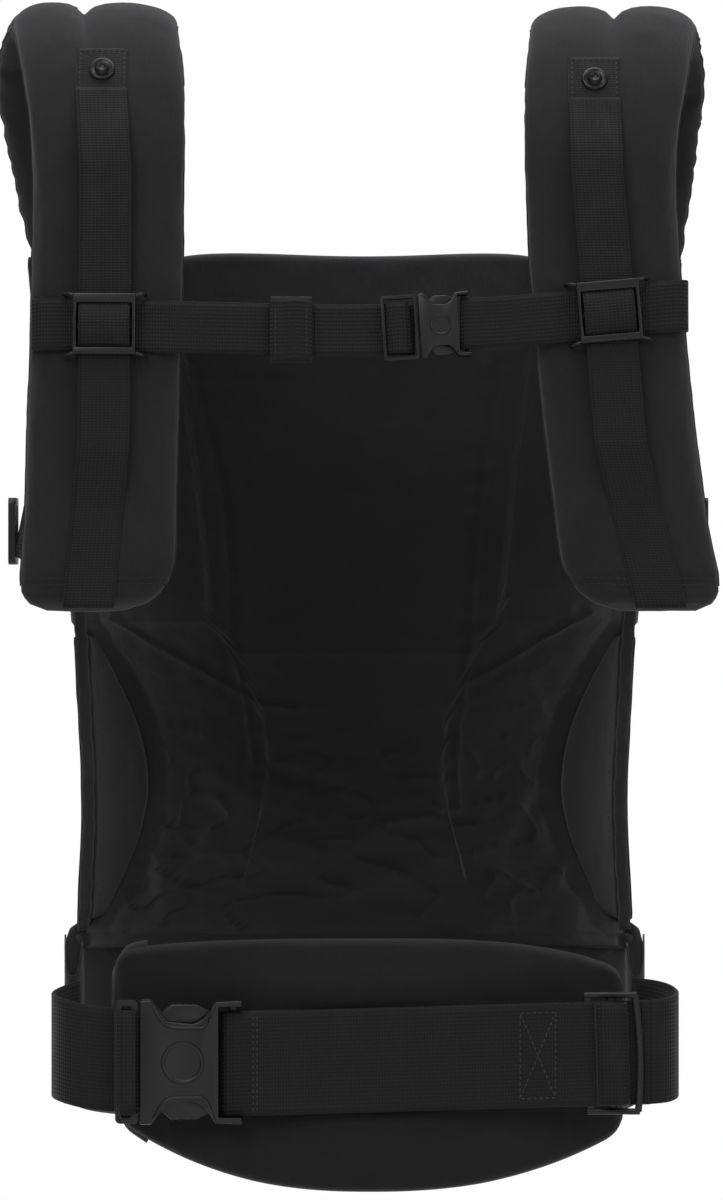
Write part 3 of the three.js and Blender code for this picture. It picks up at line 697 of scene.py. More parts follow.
def face_towards(obj, direction):
    """Turns an open sheet so that its normals point to -Y (-1) or +Y (1) on average."""
    total = sum((p.normal[1] * p.area for p in obj.data.polygons), 0.0)
    if total * direction < 0:
        obj.data.flip_normals()
    return obj


def panel_lining():
    obj = panel_sheet("lining_cloth_sheet", LINING, True, LINING_SEAMS, LINING_FOLDS, 1.9)
    finish_piece(obj, "carrier", ["panel_lining"])


def panel_shell():
    obj = panel_sheet("outer_shell_sheet", PANEL_COTTON, False, SHELL_SEAMS, [], 3.4)
    finish_piece(obj, "carrier", ["panel_outer_shell"])


def padded_patch(name, point, columns, levels, material, thick, bulge, rim=3.2, seed=0.0, wrinkle=0.4):
    """A closed pad between two faces of a surface point(share, level, out), rounded at all four sides."""
    share = np.linspace(0, 1, columns)
    level = np.linspace(0, 1, levels)
    grid_s, grid_l = np.meshgrid(share, level)
    width = np.linalg.norm(point(1.0, 0.5, 0.0) - point(0.0, 0.5, 0.0))
    height = np.linalg.norm(point(0.5, 1.0, 0.0) - point(0.5, 0.0, 0.0))
    edge = np.minimum(np.minimum(grid_s, 1 - grid_s) * width, np.minimum(grid_l, 1 - grid_l) * height)
    corner = np.clip(edge / rim, 0, 1)
    crown = 1 - np.exp(-edge / 14)
    half = thick / 2 * round_over(corner) + bulge * crown * corner
    faces = []
    for sign in (-1, 1):
        place_at = point(grid_s, grid_l, thick / 2 + sign * half)
        ripple = wrinkle * noise_field(place_at, 13, seed + sign) * corner
        faces.append(point(grid_s, grid_l, thick / 2 + sign * (half + ripple)))
    return closed_faces(name, faces[0], faces[1], material)


def closed_faces(name, front, back, material):
    """Joins two matching grids of points along their edges into one closed form."""
    count, width = front.shape[:2]
    points = np.concatenate([front.reshape(-1, 3), back.reshape(-1, 3)])
    thread = np.concatenate([thread_of(front).reshape(-1, 3), thread_of(back).reshape(-1, 3)])
    size = count * width
    faces = []
    for i in range(count - 1):
        for j in range(width - 1):
            a, b = i * width + j, (i + 1) * width + j
            faces.append((a, a + 1, b + 1, b))
            faces.append((size + a, size + b, size + b + 1, size + a + 1))
    ring = list(range(width)) + [i * width + width - 1 for i in range(1, count)]
    ring += [(count - 1) * width + j for j in range(width - 2, -1, -1)]
    ring += [i * width for i in range(count - 2, 0, -1)]
    for a, b in zip(ring, ring[1:] + ring[:1]):
        faces.append((b, a, size + a, size + b))
    obj = mesh_object(name, points, faces, material, thread)
    apply_modifier(obj, "WELD", merge_threshold=0.00001)
    return face_outwards(obj)


def leg_wing(side, name):
    """Padded wing beside the leg opening, with two rows of stitching along its free edge."""
    def point(share, level, out):
        z = 61.5 + 144 * level
        inner = np.minimum(panel_reach(z) + 0.004, 0.955)
        across = inner + (1.004 - inner) * share
        return panel_point(side * across, z + 0 * share, out)

    # The wing pad is drawn in the darkened cotton: painted shade on the shell's cloth
    obj = padded_patch(f"{name}_wing_pad", point, 30, 62, WING_COTTON, PANEL_THICK, 0.9, seed=side * 7.7)
    finish_piece(obj, "carrier", [f"{name}_leg_wing"])
    level = np.linspace(0.04, 0.96, 80)
    routes, normals = [], []
    for inset in (0.84, 0.91):
        share = np.full_like(level, inset)
        route = point(share, level, -0.95)
        routes.append(route)
        normals.append(unit(route - point(share, level, 2.0)))
    rows = stitch_rows(f"{name}_wing_stitches", routes, normals, THREAD, 2.4, 0.9, 0.28)
    finish_piece(rows, "carrier")


def edge_binding(side, name):
    """Elastic binding down the free side edge, gathered so that it is slightly knobbly."""
    z = np.linspace(58.5, 397.4, 170)
    route = panel_point(side * np.ones_like(z), z, PANEL_THICK / 2) + [0, -2.5, 0]
    route[:, 0] += 0.25 * np.sin(z / 2.1) + 0.2 * np.sin(z / 5.3)
    obj = tube(f"{name}_edge_piping", route, 3.2, BINDING, 10)
    finish_piece(obj, "carrier", [f"{name}_edge_binding"])


def head_support():
    """Padded head support above the fold line, its top edge a little wavy."""
    def point(share, level, out):
        across = -0.402 + 0.804 * share
        z = 355.5 + level * (45.2 + 0.8 * np.sin(9 * share) - 2.4 * (2 * share - 1) ** 8)
        return panel_point(across, z, out)

    obj = padded_patch(
        "head_support_pad", point, 56, 20, PANEL_COTTON, PANEL_THICK, 0.7, seed=21.3, wrinkle=0.7,
    )
    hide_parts("head_support_lining", "head_support_foam", "head_support_cover")
    start, end = ((CENTRE_X / 1000, FOLD_Y, (FOLD_Z + k) / 1000) for k in (-3.5, 5.5))
    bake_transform(obj)
    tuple(start)
    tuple(end)


def outer_patch(name, material, shares, heights, low, high, bulge, replaces):
    def point(share, level, out):
        across = shares[0] + (shares[1] - shares[0]) * share
        z = heights[0] + (heights[1] - heights[0]) * level
        return panel_point(across, z, PANEL_THICK + low + out)

    columns = int(abs(shares[1] - shares[0]) * 220 / 3.2) + 4
    levels = int((heights[1] - heights[0]) / 3.2) + 5
    obj = padded_patch(name, point, columns, levels, material, high - low, bulge, rim=1.6, wrinkle=0.3)
    return finish_piece(obj, "carrier", replaces)


def hood_pocket():
    """Flat pocket for the stowed hood on the outer face, its zip above it and stitching round it."""
    cloth, tape = ["hood_pocket"], ["zip_tape"]
    outer_patch("hood_pocket_cloth", PANEL_COTTON, (-0.386, 0.386), (222, 300.5), 1.0, 3.8, 1.1, cloth)
    outer_patch("zip_tape_cloth", BINDING, (-0.2, 0.2), (303, 314), 0.9, 1.9, 0.1, tape)
    reach, bottom, top = 0.372, 226, 296.5
    share = np.linspace(-reach, reach, 90)
    height = np.linspace(bottom, top, 40)
    routes = [panel_point(share, np.full_like(share, z), PANEL_THICK + 5.0) for z in (bottom, top)]
    routes += [panel_point(np.full_like(height, s), height, PANEL_THICK + 5.0) for s in (-reach, reach)]
    normals = [unit(route - [CENTRE_X, 0, 0] * np.ones_like(route) - route * [0, 0, 1]) for route in routes]
    rows = stitch_rows("pocket_stitches", routes, normals, THREAD, 2.6, 1.0, 0.3)
    finish_piece(rows, "carrier")
    zip_teeth(308.5)


def zip_teeth(z):
    """Two interlocking rows of teeth along the zip tape's middle."""
    section = [(-1.3, -0.5), (1.3, -0.5), (1.0, 0.5), (-1.0, 0.5)]
    sides = [(0, 1, 2, 3), (7, 6, 5, 4), (0, 4, 5, 1), (1, 5, 6, 2), (2, 6, 7, 3), (3, 7, 4, 0)]
    points, faces = [], []
    for k, share in enumerate(np.linspace(-0.19, 0.19, 76)):
        ends = (share, share + 0.01)
        centre, ahead = (panel_point(np.array(s), np.array(z), PANEL_THICK + 2.4) for s in ends)
        side = unit(ahead - centre)
        out = np.cross(side, Z_AXIS)
        out = out if out[1] > 0 else -out
        lift = 0.9 if k % 2 else -0.9
        base = len(points)
        for a in (-0.42, 0.42):
            points += [centre + side * a + Z_AXIS * (b + lift) + out * c for b, c in section]
        faces += [tuple(base + i for i in face) for face in sides]
    teeth = face_outwards(mesh_object("zip_teeth", points, faces, PLASTIC, smooth=False))
    finish_piece(teeth, "carrier")


# ---------- waistband ----------
def waistband_point(share, level, through):
    """Point of the waistband at shares round the waist, up it, and through it from its inner face."""
    angle = share * np.pi / 2
    half, depth = 135.5, 118.0
    thick = WAISTBAND_THICK * (1 - 0.5 * share**2)
    normal = unit(np.stack([depth * np.sin(angle), half * np.cos(angle)], -1))
    low = -50 + 24 * share**2
    reach = np.abs(share)
    closing = np.clip((reach - 0.92) / 0.08, 0, 1) ** 2
    high = 44 + 8 * share**2 + 11 * hill(reach, 0.88, 0.08) - 17 * closing
    low = low + 11 * closing
    return np.stack([
        CENTRE_X + half * np.sin(angle) + normal[..., 0] * thick * through,
        -30 + depth * np.cos(angle) + normal[..., 1] * thick * through,
        low + (high - low) * level,
    ], -1)


def waistband():
    """Padded waistband round the wearer's front, quilted by two lengthwise rows of stitching."""
    def point(share, level, out):
        across = 2 * share - 1
        return waistband_point(across, level, out / WAISTBAND_THICK)

    obj = padded_patch("waistband_pad", point, 150, 36, WING_COTTON, WAISTBAND_THICK, 0.6, 6, 4.4, 0.8)
    finish_piece(obj, "carrier",
                 ["waistband_inner_cover", "waistband_foam", "waistband_outer_cover"])
    share = np.linspace(-0.97, 0.97, 260)
    routes, normals = [], []
    for level, through in ((0.085, 0.02), (0.915, 0.02), (0.085, 0.98), (0.915, 0.98)):
        place_at = waistband_point(share, np.full_like(share, level), np.full_like(share, through))
        centre = waistband_point(share, np.full_like(share, level), np.full_like(share, 0.5))
        normal = unit(place_at - centre)
        routes.append(place_at + normal * 0.35)
        normals.append(normal)
    rows = stitch_rows("waistband_stitches", routes, normals, THREAD, 3.0, 1.1, 0.3)
    finish_piece(rows, "carrier")
    for side, name in ((-1, "left"), (1, "right")):
        waistband_end(side, name)


def waistband_end(side, name):
    """Cloth binding folded round the waistband's end."""
    levels = np.linspace(-0.01, 1.01, 26)
    turn = np.linspace(-1, 1, 15)
    rows = []
    for level in levels:
        ring = []
        for t in turn:
            reach = 0.945 if abs(t) == 1 else 0.955 + 0.052 * math.sqrt(1 - t * t)
            ring.append(waistband_point(np.array(side * reach), np.array(level), np.array(0.5 + 0.6 * t)))
        rows.append(ring)
    rows = crumple(np.array(rows), 0.35, 9, 2.2 * side)
    obj = grid_object(f"{name}_waistband_binding", rows, BINDING)
    face_outwards(obj)
    thicken(obj, 0.9)
    finish_piece(obj, "carrier")


# ---------- shoulder straps ----------
def arch_place(degrees):
    """Place along a strap at an angle round its arch."""
    return 1 + degrees / 90


def rear_x(strap, share):
    """X of the centre line behind the crest, bowed between the crest and the rear end."""
    bow = strap["flare"] * math.sin(math.pi * share)
    return strap["crest"] + (strap["end"] - strap["crest"]) * share + bow


def strap_frame(strap, along):
    """Centre-line point and outward direction at a place along the strap.

    along runs 0..1 up the straight run, 1..3 over the arch (2 is the crest), 3..4 down to the rear end,
    and on to 4.5 where the strap is sewn to the inside of the panel.
    """
    if along <= 1:
        x = strap["bottom"] + (strap["bend"] - strap["bottom"]) * (1 - (1 - max(along, 0)) ** 1.6)
        y, z = RUN_BOTTOM + (RUN_BEND - RUN_BOTTOM) * along
        tangent = unit(RUN_BEND - RUN_BOTTOM)
    elif along <= 3:
        angle = (along - 1) * math.pi / 2
        radius = -RUN_BEND[0]
        y = -radius * math.cos(angle)
        z = RUN_BEND[1] + strap["rise"] * math.sin(angle)
        tangent = unit(np.array([radius * math.sin(angle), strap["rise"] * math.cos(angle)]))
        if along <= 2:
            x = strap["bend"] + (strap["crest"] - strap["bend"]) * math.sin(angle) ** 2
        else:
            x = rear_x(strap, (along - 2) * REAR_SHARE)
    else:
        start = np.array([-RUN_BEND[0], RUN_BEND[1]])
        tangent = unit(STRAP_END - start)
        x = rear_x(strap, min(REAR_SHARE + (1 - REAR_SHARE) * (along - 3), 1.0))
        y, z = start + (STRAP_END - start) * (along - 3)
        y -= 8 * max(0.0, along - 4)
    outward = np.array([0, -tangent[1], tangent[0]])
    return np.array([x, y, z]), outward


def strap_places(strap):
    """Places along the strap about three millimetres apart."""
    along = [*np.linspace(0, 1, 72), *np.linspace(1, 3, 92)[1:], *np.linspace(3, 4.5, 18)[1:]]
    frames = [strap_frame(strap, a) for a in along]
    centre = np.array([f[0] for f in frames])
    outward = np.array([f[1] for f in frames])
    kernel = np.ones(9) / 9
    for i in range(3):
        padded = np.pad(outward[:, i], 4, mode="edge")
        outward[:, i] = np.convolve(padded, kernel, mode="valid")
    return np.array(along), centre, unit(outward)


def pad_rows(strap, along, centre, outward, length, u, height):
    """Cross-sections of a strap's pad: one crown on the run, two lobes with a cleft at the shoulder."""
    middle = strap["cleft"]
    inner_side = u * (1 if strap["crest"] < 0 else -1) > 0
    front, back = np.clip(height, 0, None), np.clip(height, None, 0)
    lobe_half = np.where(u > middle, 1 - middle, 1 + middle)
    in_lobe = np.clip(np.abs(2 * np.abs(u - middle) / lobe_half - 1), 0, 1)
    facing_cleft = np.abs(u - middle) < lobe_half / 2
    lobe = np.where(facing_cleft, 1 - 0.5 * in_lobe**2.6, (1 - in_lobe**2.2) ** 0.5)
    rows = []
    for a, c, out, run in zip(along, centre, outward, length):
        bottom = np.clip(run / 7, 0, 1)
        tail = np.clip((length[-1] - run) / 24, 0, 1)
        end = round_over(bottom) * round_over(tail)
        spread = CREST_SPREAD * max(0.0, (c[2] - RUN_BEND[1]) / strap["rise"])
        half = STRAP_HALF + 0.9 - 1.5 * (1 - tail) + spread
        trim = np.where(inner_side, 24 * (1 - round_over(run / 31)), 14 * (1 - round_over(run / 14))) * u
        crown = STRAP_CROWN * (1 - u**2) * (0.4 + 0.6 * bottom)
        thick = (STRAP_THICK / 2) * (0.25 + 0.75 * end)
        single = front * (thick + crown)
        double = (front > 0) * (thick + STRAP_CROWN) * np.minimum(lobe * 1.04, 1.04)
        offset = -STRAP_THICK / 2 + single + 0.75 * hill(a, 2.0, 0.5) * (double - single) + back * thick
        offset -= (front > 0) * 1.6 * hill(a, 1.85, 0.45) * hill(u, middle, 0.075)
        rows.append(c + np.outer(u * half - trim, X_AXIS) + np.outer(offset, out))
    return np.array(rows)


def shoulder_strap(strap, name, seed):
    """Padded strap, gathered along its edge seams and creased behind the shoulder."""
    along, centre, outward = strap_places(strap)
    cross_x, cross_y = pad_section(2.9, strap["cleft"])
    length = np.r_[0, np.linalg.norm(np.diff(centre, axis=0), axis=1).cumsum()]
    rows = pad_rows(strap, along, centre, outward, length, cross_x, cross_y)
    tangent = unit(np.gradient(rows.mean(1), axis=0))
    around = unit(np.roll(rows, -1, 1) - np.roll(rows, 1, 1))
    normal = unit(np.cross(around, tangent[:, None, :]))
    centre_out = rows - rows.mean(1, keepdims=True)
    normal *= np.where((normal * centre_out).sum(-1) < 0, -1, 1)[..., None]
    across, place, run = np.broadcast_arrays(cross_x, along[:, None], length[:, None])
    arch = np.clip((place - 0.9) / 0.6, 0, 1)
    behind = np.clip((place - 1.7) / 0.4, 0, 1)
    relief = 0.35 * noise_field(rows, 38, seed) + 0.22 * noise_field(rows, 11, seed + 3)
    relief += (0.3 * arch + 0.7 * behind) * noise_field(rows * [0.5, 1.0, 1.0], 12, seed + 7)
    gathers = (0.06 + 0.3 * behind) * np.sin(run / 1.9 + 2 * np.sin(run / 14))
    relief += hill(np.abs(across), 1.0, 0.035) * (-0.5 + gathers)
    under = (centre_out * outward[:, None, :]).sum(-1) < 0
    folds = np.sin(run / 5.5 + across * 1.4) * np.clip(1 - np.abs(across) ** 4, 0, 1)
    relief += np.where(under, 0.5, 0) * arch * folds
    for k in END_SEAMS:
        relief -= 0.8 * hill(run, k, 1.1)
    rows = rows + normal * relief[..., None]
    yarn = thread_of(rows, True)
    obj = grid_object(f"{name}_shoulder_pad", rows, COTTON, closed=True, caps=True, thread=yarn)
    face_outwards(obj)
    inflate(obj, 3.0, 1.3, 14)
    rows = coordinates(obj)[: rows[..., 0].size].reshape(rows.shape) * 1000
    nodes = [f"{name}_strap_{h}_{l}" for h in ("front", "rear") for l in ("cover", "foam", "lining")]
    finish_piece(obj, "carrier", nodes)
    labels = ("inner", "outer") if name == "right" else ("outer", "inner")
    for label, u in zip(labels, (-1.0, 1.0)):
        spot = int(np.argmin(np.abs(cross_x - u) + np.abs(cross_y)))
        line = rows[4:-4, spot] - X_AXIS * u * 0.1
        seam = tube(f"{name}_strap_{label}_seam", line, 0.75, BINDING, 6)
        finish_piece(seam, "carrier")
    routes, normals = [], []
    for k in END_SEAMS:
        at = int(np.argmin(np.abs(length - k)))
        face = rows[at][cross_y > 0.25]
        routes.append(face[np.argsort(face[:, 0])] + outward[at] * 0.5)
        normals.append(outward[at])
    stitches = stitch_rows(f"{name}_strap_end_stitches", routes, normals, THREAD, 2.8, 1.0, 0.2)
    finish_piece(stitches, "carrier")


def front_surface(strap, along):
    """Point on the middle of a strap's outer face and its outward direction."""
    point, outward = strap_frame(strap, along)
    return point + outward * MIDDLE_CROWN, outward


def rail_x(strap, along):
    """X of the rail webbing: straight above its kink, slanting below it, turning to the tab on the arch."""
    bottom, kink, top = strap["rail"]
    if along < KINK:
        return bottom + (kink - bottom) * along / KINK
    if along <= 1:
        return kink + (top - kink) * (along - KINK) / (1 - KINK)
    return top + (strap["tab_x"] - top) * min(1.0, (along - 1) / (strap["facet"][0] / 90))


def rail_webbing(strap, name):
    """Webbing down the middle of the strap that the chest strap's slider runs on."""
    spine = []
    end = arch_place(strap["facet"][0] + 3)
    stops = list(np.linspace(0.004, 0.985, 60)) + list(np.linspace(1.0, end, 16))
    for a in stops:
        point, outward = front_surface(strap, a)
        low = np.clip((a - 0.22) / 0.16, 0, 1)
        high = np.clip((end - a) / (end - 1), 0, 1)
        ease = (low * low * (3 - 2 * low)) * (high * high * (3 - 2 * high))
        point[0] = rail_x(strap, a)
        spine.append(point + outward * (0.5 + 5.4 * ease))
    obj = band(f"{name}_rail_band", spine, -X_AXIS, CHEST_WIDTH, CHEST_THICK, CHEST_CLOTH)
    finish_piece(obj, "carrier", [f"{name}_rail_webbing"])


for label, strap in STRAPS.items():
    shoulder_strap(strap, label, 11.0 if label == "left" else 42.0)
    rail_webbing(strap, label)
panel_lining()
panel_shell()
head_support()
hood_pocket()
waistband()
for wing_side, label in ((-1, "left"), (1, "right")):
    leg_wing(wing_side, label)
    edge_binding(wing_side, label)


# ---------- moulded hardware ----------
def moulded_copy(node, bevel):
    """The CAD piece with its flats cleaned up and every sharp edge rounded as a moulding's is."""
    source = bpy.data.objects[node]
    mesh = source.data.copy()
    obj = bpy.data.objects.new(f"{node}_moulding", mesh)
    scene.collection.objects.link(obj)
    apply_modifier(obj, "WELD", merge_threshold=0.000005)
    apply_modifier(obj, "DECIMATE", decimate_type="DISSOLVE", angle_limit=math.radians(1))
    apply_modifier(
        obj, "BEVEL", width=bevel / 1000, segments=3, limit_method="ANGLE",
        angle_limit=math.radians(30), harden_normals=False,
    )
    mesh.materials.clear()
    mesh.materials.append(PLASTIC)
    return auto_smooth(obj, 38)


def plastic_piece(obj, body, *nodes):
    return finish_piece(obj, body, nodes)


def sweep(name, route, section, side):
    """Carries a section (pairs along side and outwards) along a route, as a bent plastic bar."""
    route = np.asarray(route, float)
    side = np.broadcast_to(np.asarray(side, float), route.shape)
    out = unit(np.cross(unit(np.gradient(route, axis=0)), side))
    rows = np.stack([route + side * a + out * b for a, b in section], 1)
    return auto_smooth(face_outwards(grid_object(name, rows, PLASTIC, closed=True, caps=True)), 50)


def bar_section(width, height, radius):
    """Rounded rectangle as (side, outwards) pairs, centred on the route."""
    x, z = width / 2, height / 2
    return round_corners([(-x, -z), (x, -z), (x, z), (-x, z)], radius)


def turned(name, profile, centre, axis, segments=40):
    """A round piece: (radius, height) pairs turned about an axis through centre."""
    axis = unit(np.asarray(axis, float))
    u = unit(np.cross(axis, X_AXIS if abs(axis[0]) < 0.9 else Z_AXIS))
    v = np.cross(axis, u)
    angle = np.linspace(0, 2 * np.pi, segments, endpoint=False)[:, None]
    ring = np.cos(angle) * u + np.sin(angle) * v
    rows = np.stack([np.asarray(centre) + ring * r + axis * h for r, h in profile])
    return auto_smooth(face_outwards(grid_object(name, rows, PLASTIC, closed=True, caps=True)), 40)


def joined(name, objects):
    """Makes one object of several."""
    select_only(*objects)
    bpy.ops.object.join()
    objects[0].select_set(False)
    objects[0].name = name
    return objects[0]


# ---------- waist belt ----------
BELT_FACE_Y = -94.6
BELT_SLOPE = 0.029
BUCKLE_AT = np.array([-106.0, -96.0, 0.8])
LEFT_LOOP = [
    (-138.5, -33, 9), (-143.5, -42, 8), (-147.6, -56, 7), (-148.2, -70, 6),
    (-144, -82, 5), (-134, -89.3, 3), (-122, -90.7, 1.5), (-107.5, -90.7, 0.8),
]
RIGHT_LOOP = [
    (137, BELT_FACE_Y, 5.3), (145.5, -91.5, 5.8), (150, -84, 6.6),
    (151.5, -70, 7.8), (149, -54, 9.2), (143, -41, 10), (134, -33, 10.5),
]


def belt_height(x):
    """Height of the belt's middle, which rises a little to the right."""
    return -0.5 + BELT_SLOPE * (x + 61)


def belt_point(x, back):
    return np.array([x, BELT_FACE_Y + back, belt_height(x)])


def front_webbing():
    fold = [(-30, 3.6), (-45, 3.6), (-64.1, 3.6), (-65.4, 2.9), (-65.9, 1.8), (-65.4, 0.7), (-64.1, 0)]
    fold += [(x, 0) for x in np.arange(-60, 139, 3)] + [(138.2, 0)]
    spine = np.array([belt_point(x, back) for x, back in fold])
    spine[:, 1] -= 0.25 * np.sin(spine[:, 0] / 21) ** 2
    obj = band("front_belt_band", spine, Z_AXIS, BELT_WIDTH, BELT_THICK, BELT_CLOTH, columns=16)
    finish_piece(obj, "carrier", ["front_waist_webbing"])
    box_stitches()


def box_stitches():
    """The box-and-cross sewing on the long run, and the double row beside the buckle."""
    x0, x1, half = 76.0, 93.0, 20.5
    corners = [(x0, -half), (x0, half), (x1, half), (x1, -half), (x0, -half)]
    runs = list(zip(corners[:-1], corners[1:])) + [((x0, -half), (x1, half)), ((x0, half), (x1, -half))]
    runs += [((-52, -23), (-52, 23)), ((-50, -23), (-50, 23))]
    routes = []
    for (xa, za), (xb, zb) in runs:
        t = np.linspace(0, 1, 30)
        x = xa + (xb - xa) * t
        y = np.full_like(x, BELT_FACE_Y - BELT_THICK - 0.2)
        routes.append(np.stack([x, y, belt_height(x) + za + (zb - za) * t], 1))
    rows = stitch_rows("belt_box_stitches", routes, [-Y_AXIS] * len(routes), THREAD, 2.2, 0.7, 0.36)
    finish_piece(rows, "carrier")


def loop_webbings():
    right = spline(RIGHT_LOOP, 2.5)
    obj = band("right_belt_band", right, Z_AXIS, BELT_WIDTH, BELT_THICK, BELT_CLOTH, columns=12)
    finish_piece(obj, "carrier", ["right_waist_webbing"])
    left = spline(LEFT_LOOP, 2.0)
    obj = band("left_belt_band", left, Z_AXIS, BELT_WIDTH, BELT_THICK, BELT_CLOTH, columns=12)
    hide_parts("left_waist_webbing")
    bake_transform(obj)


def webbing_roll(name, centre, along, out, width, reach, height, body, thick, cloth, across):
    """The webbing's hump over a bar: it rises out of the frame, rolls over, and goes back in."""
    t = np.linspace(-1, 1, 25)
    rise = np.sqrt(np.clip(1 - np.abs(t) ** 2.6, 0, 1))
    spine = np.asarray(centre) + np.outer(t * reach, along) + np.outer(rise * height, out)
    if np.dot(np.cross(along, across), out) < 0:
        across = -np.asarray(across)
    finish_piece(band(name, spine, across, width, thick, cloth, columns=10), body)


def waist_buckle():
    """Side-release buckle: rounded shells, ribbed release pads and a plain ring on its face."""
    socket = moulded_copy("waist_buckle_socket", 1.3)
    plastic_piece(socket, "carrier", "waist_buckle_socket")
    plug = moulded_copy("waist_buckle_plug", 0.9)
    plastic_piece(plug, "waist_plug", "waist_buckle_plug")
    face = BUCKLE_AT + [20.5, -6.0, 0]
    profile = [(10.4, -0.1), (10.0, 0.5), (9.2, 0.62), (8.5, 0.4), (8.1, -0.1)]
    ring = turned("waist_buckle_ring", profile, face, -Y_AXIS, 56)
    plastic_piece(ring, "carrier")
    for level, label in ((1, "upper"), (-1, "lower")):
        arm = moulded_copy(f"waist_release_arm_{label}", 0.7)
        plastic_piece(arm, f"waist_arm_{label}", f"waist_release_arm_{label}")
        ribs = []
        for k in range(4):
            x = 15.5 + 3.2 * k
            route = [BUCKLE_AT + [x, y, level * (27.7 - 0.08 * k)] for y in np.linspace(-1.7, 1.7, 6)]
            ribs.append(tube(f"waist_grip_{label}_{k}", route, 0.55, PLASTIC, 8))
        plastic_piece(joined(f"waist_grip_{label}", ribs), f"waist_arm_{label}")
    edge = [(6.5, 26.8), (12.8, 17.8), (25, 16.7), (31, 17.6), (35.6, 26.9)]
    for level, label in ((1, "upper"), (-1, "lower")):
        route = spline([BUCKLE_AT + [x, -6.1, level * z] for x, z in edge], 1.5)
        plastic_piece(tube(f"waist_buckle_lip_{label}", route, 0.8, PLASTIC, 8), "carrier")
    centre = BUCKLE_AT + [-5.9, 2.0, 0]
    webbing_roll(
        "waist_plug_roll", centre, X_AXIS, -Y_AXIS, 49.8, 4.7, 6.2, "waist_plug", 1.9, BELT_CLOTH, Z_AXIS,
    )


def tri_glide():
    """Tri-glide: thin bowed outer bar, centre bar with the webbing over it, inner bar behind the run."""
    centre_x = 120.5
    half = BELT_WIDTH / 2 + 2.9
    tilt = math.atan(BELT_SLOPE)
    z = np.linspace(-half, half, 15)
    front = BELT_FACE_Y - BELT_THICK - 1.95
    back = BELT_FACE_Y + 1.9

    def at(x, y, v):
        return (centre_x + x * math.cos(tilt) - v * math.sin(tilt), y,
                belt_height(centre_x) + x * math.sin(tilt) + v * math.cos(tilt))

    bow = 1.6 * (1 - (z / half) ** 2)
    outer = [at(11.2 + b, front, v) for b, v in zip(bow, z)]
    bars = [sweep("tri_glide_outer", outer, bar_section(2.8, 3.4, 1.2), Y_AXIS)]
    for label, x in (("middle", 0.0), ("inner", -11.2)):
        line = [at(x, back, v) for v in np.linspace(-half, half, 12)]
        bars.append(sweep(f"tri_glide_{label}", line, bar_section(2.4, 4.4, 0.9), Y_AXIS))
    for level in (-1, 1):
        x = np.linspace(-12.6, 12.0, 14)
        depth = np.interp(x, (-12.6, -3, 9, 12.0), (back, back - 1.6, front + 0.3, front))
        rail = [at(a, d, level * half) for a, d in zip(x, depth)]
        bars.append(sweep(f"tri_glide_rail_{level}", rail, bar_section(3.0, 3.0, 1.2), (0, 0, 1)))
    plastic_piece(joined("tri_glide_moulding", bars), "waist_triglide", "waist_triglide")
    along = np.array([math.cos(tilt), 0, math.sin(tilt)])
    across = np.array([-math.sin(tilt), 0, math.cos(tilt)])
    start = belt_point(centre_x - 0.2, -BELT_THICK + 0.4)
    webbing_roll(
        "tri_glide_roll", start, along, -Y_AXIS, 49.0, 6.2, 4.4, "waist_triglide", 1.9, BELT_CLOTH, across,
    )


# ---------- lumbar pad ----------
def lumbar_point(x, level, through):
    """Point of the lumbar pad at x, at shares up it and through it from its front."""
    from_middle = np.abs(x - 3.5)
    reach = from_middle / 124.5
    corner = 8 * (1 - round_over(1 - (from_middle - 115.5) / 9))
    top = 61 - np.where(x < 0, 10, 19) * reach**3 - corner
    bottom = -66 + np.where(x < 0, 35, 29) * reach**2.4 + corner
    face = -88 + 27 * reach**2
    back = -62 + 16 * np.clip(reach - 0.43, 0, None) / 0.57
    return np.stack([x + 0 * level, face + (back - face) * through, bottom + (top - bottom) * level], -1)


def lumbar_pad():
    """Crowned pad, pressed flat by the belt across its middle, with an elastic sleeve on its left end."""
    def point(share, level, out):
        return lumbar_point(-121 + 249 * share, level, out / LUMBAR_THICK)

    obj = padded_patch("lumbar_cushion", point, 96, 48, LUMBAR_CLOTH, LUMBAR_THICK, 0.3, 6, 31.4, 0.35)
    inflate(obj, 4.0, 3.0, 18)
    co = coordinates(obj) * 1000
    from_belt = np.abs(co[:, 2] - belt_height(co[:, 0]))
    under = np.clip(1 - (from_belt / 27) ** 6, 0, 1) * (co[:, 1] < -70)
    swell = 1.6 * hill(from_belt, 38, 9) * (co[:, 1] < -75)
    limit = BELT_FACE_Y + 4.6
    pressed = limit + 2.4 * under + (co[:, 1] - limit) * (1 - under)
    co[:, 1] = np.where((under > 0) & (co[:, 1] < limit + 2.4), pressed, co[:, 1]) - swell
    set_coordinates(obj, co / 1000)
    apply_modifier(obj, "SUBSURF", levels=1, render_levels=1)
    finish_piece(obj, "lumbar_pad",
                 ["lumbar_pad_front_cover", "lumbar_pad_foam", "lumbar_pad_back_cover"])
    end_sleeve()


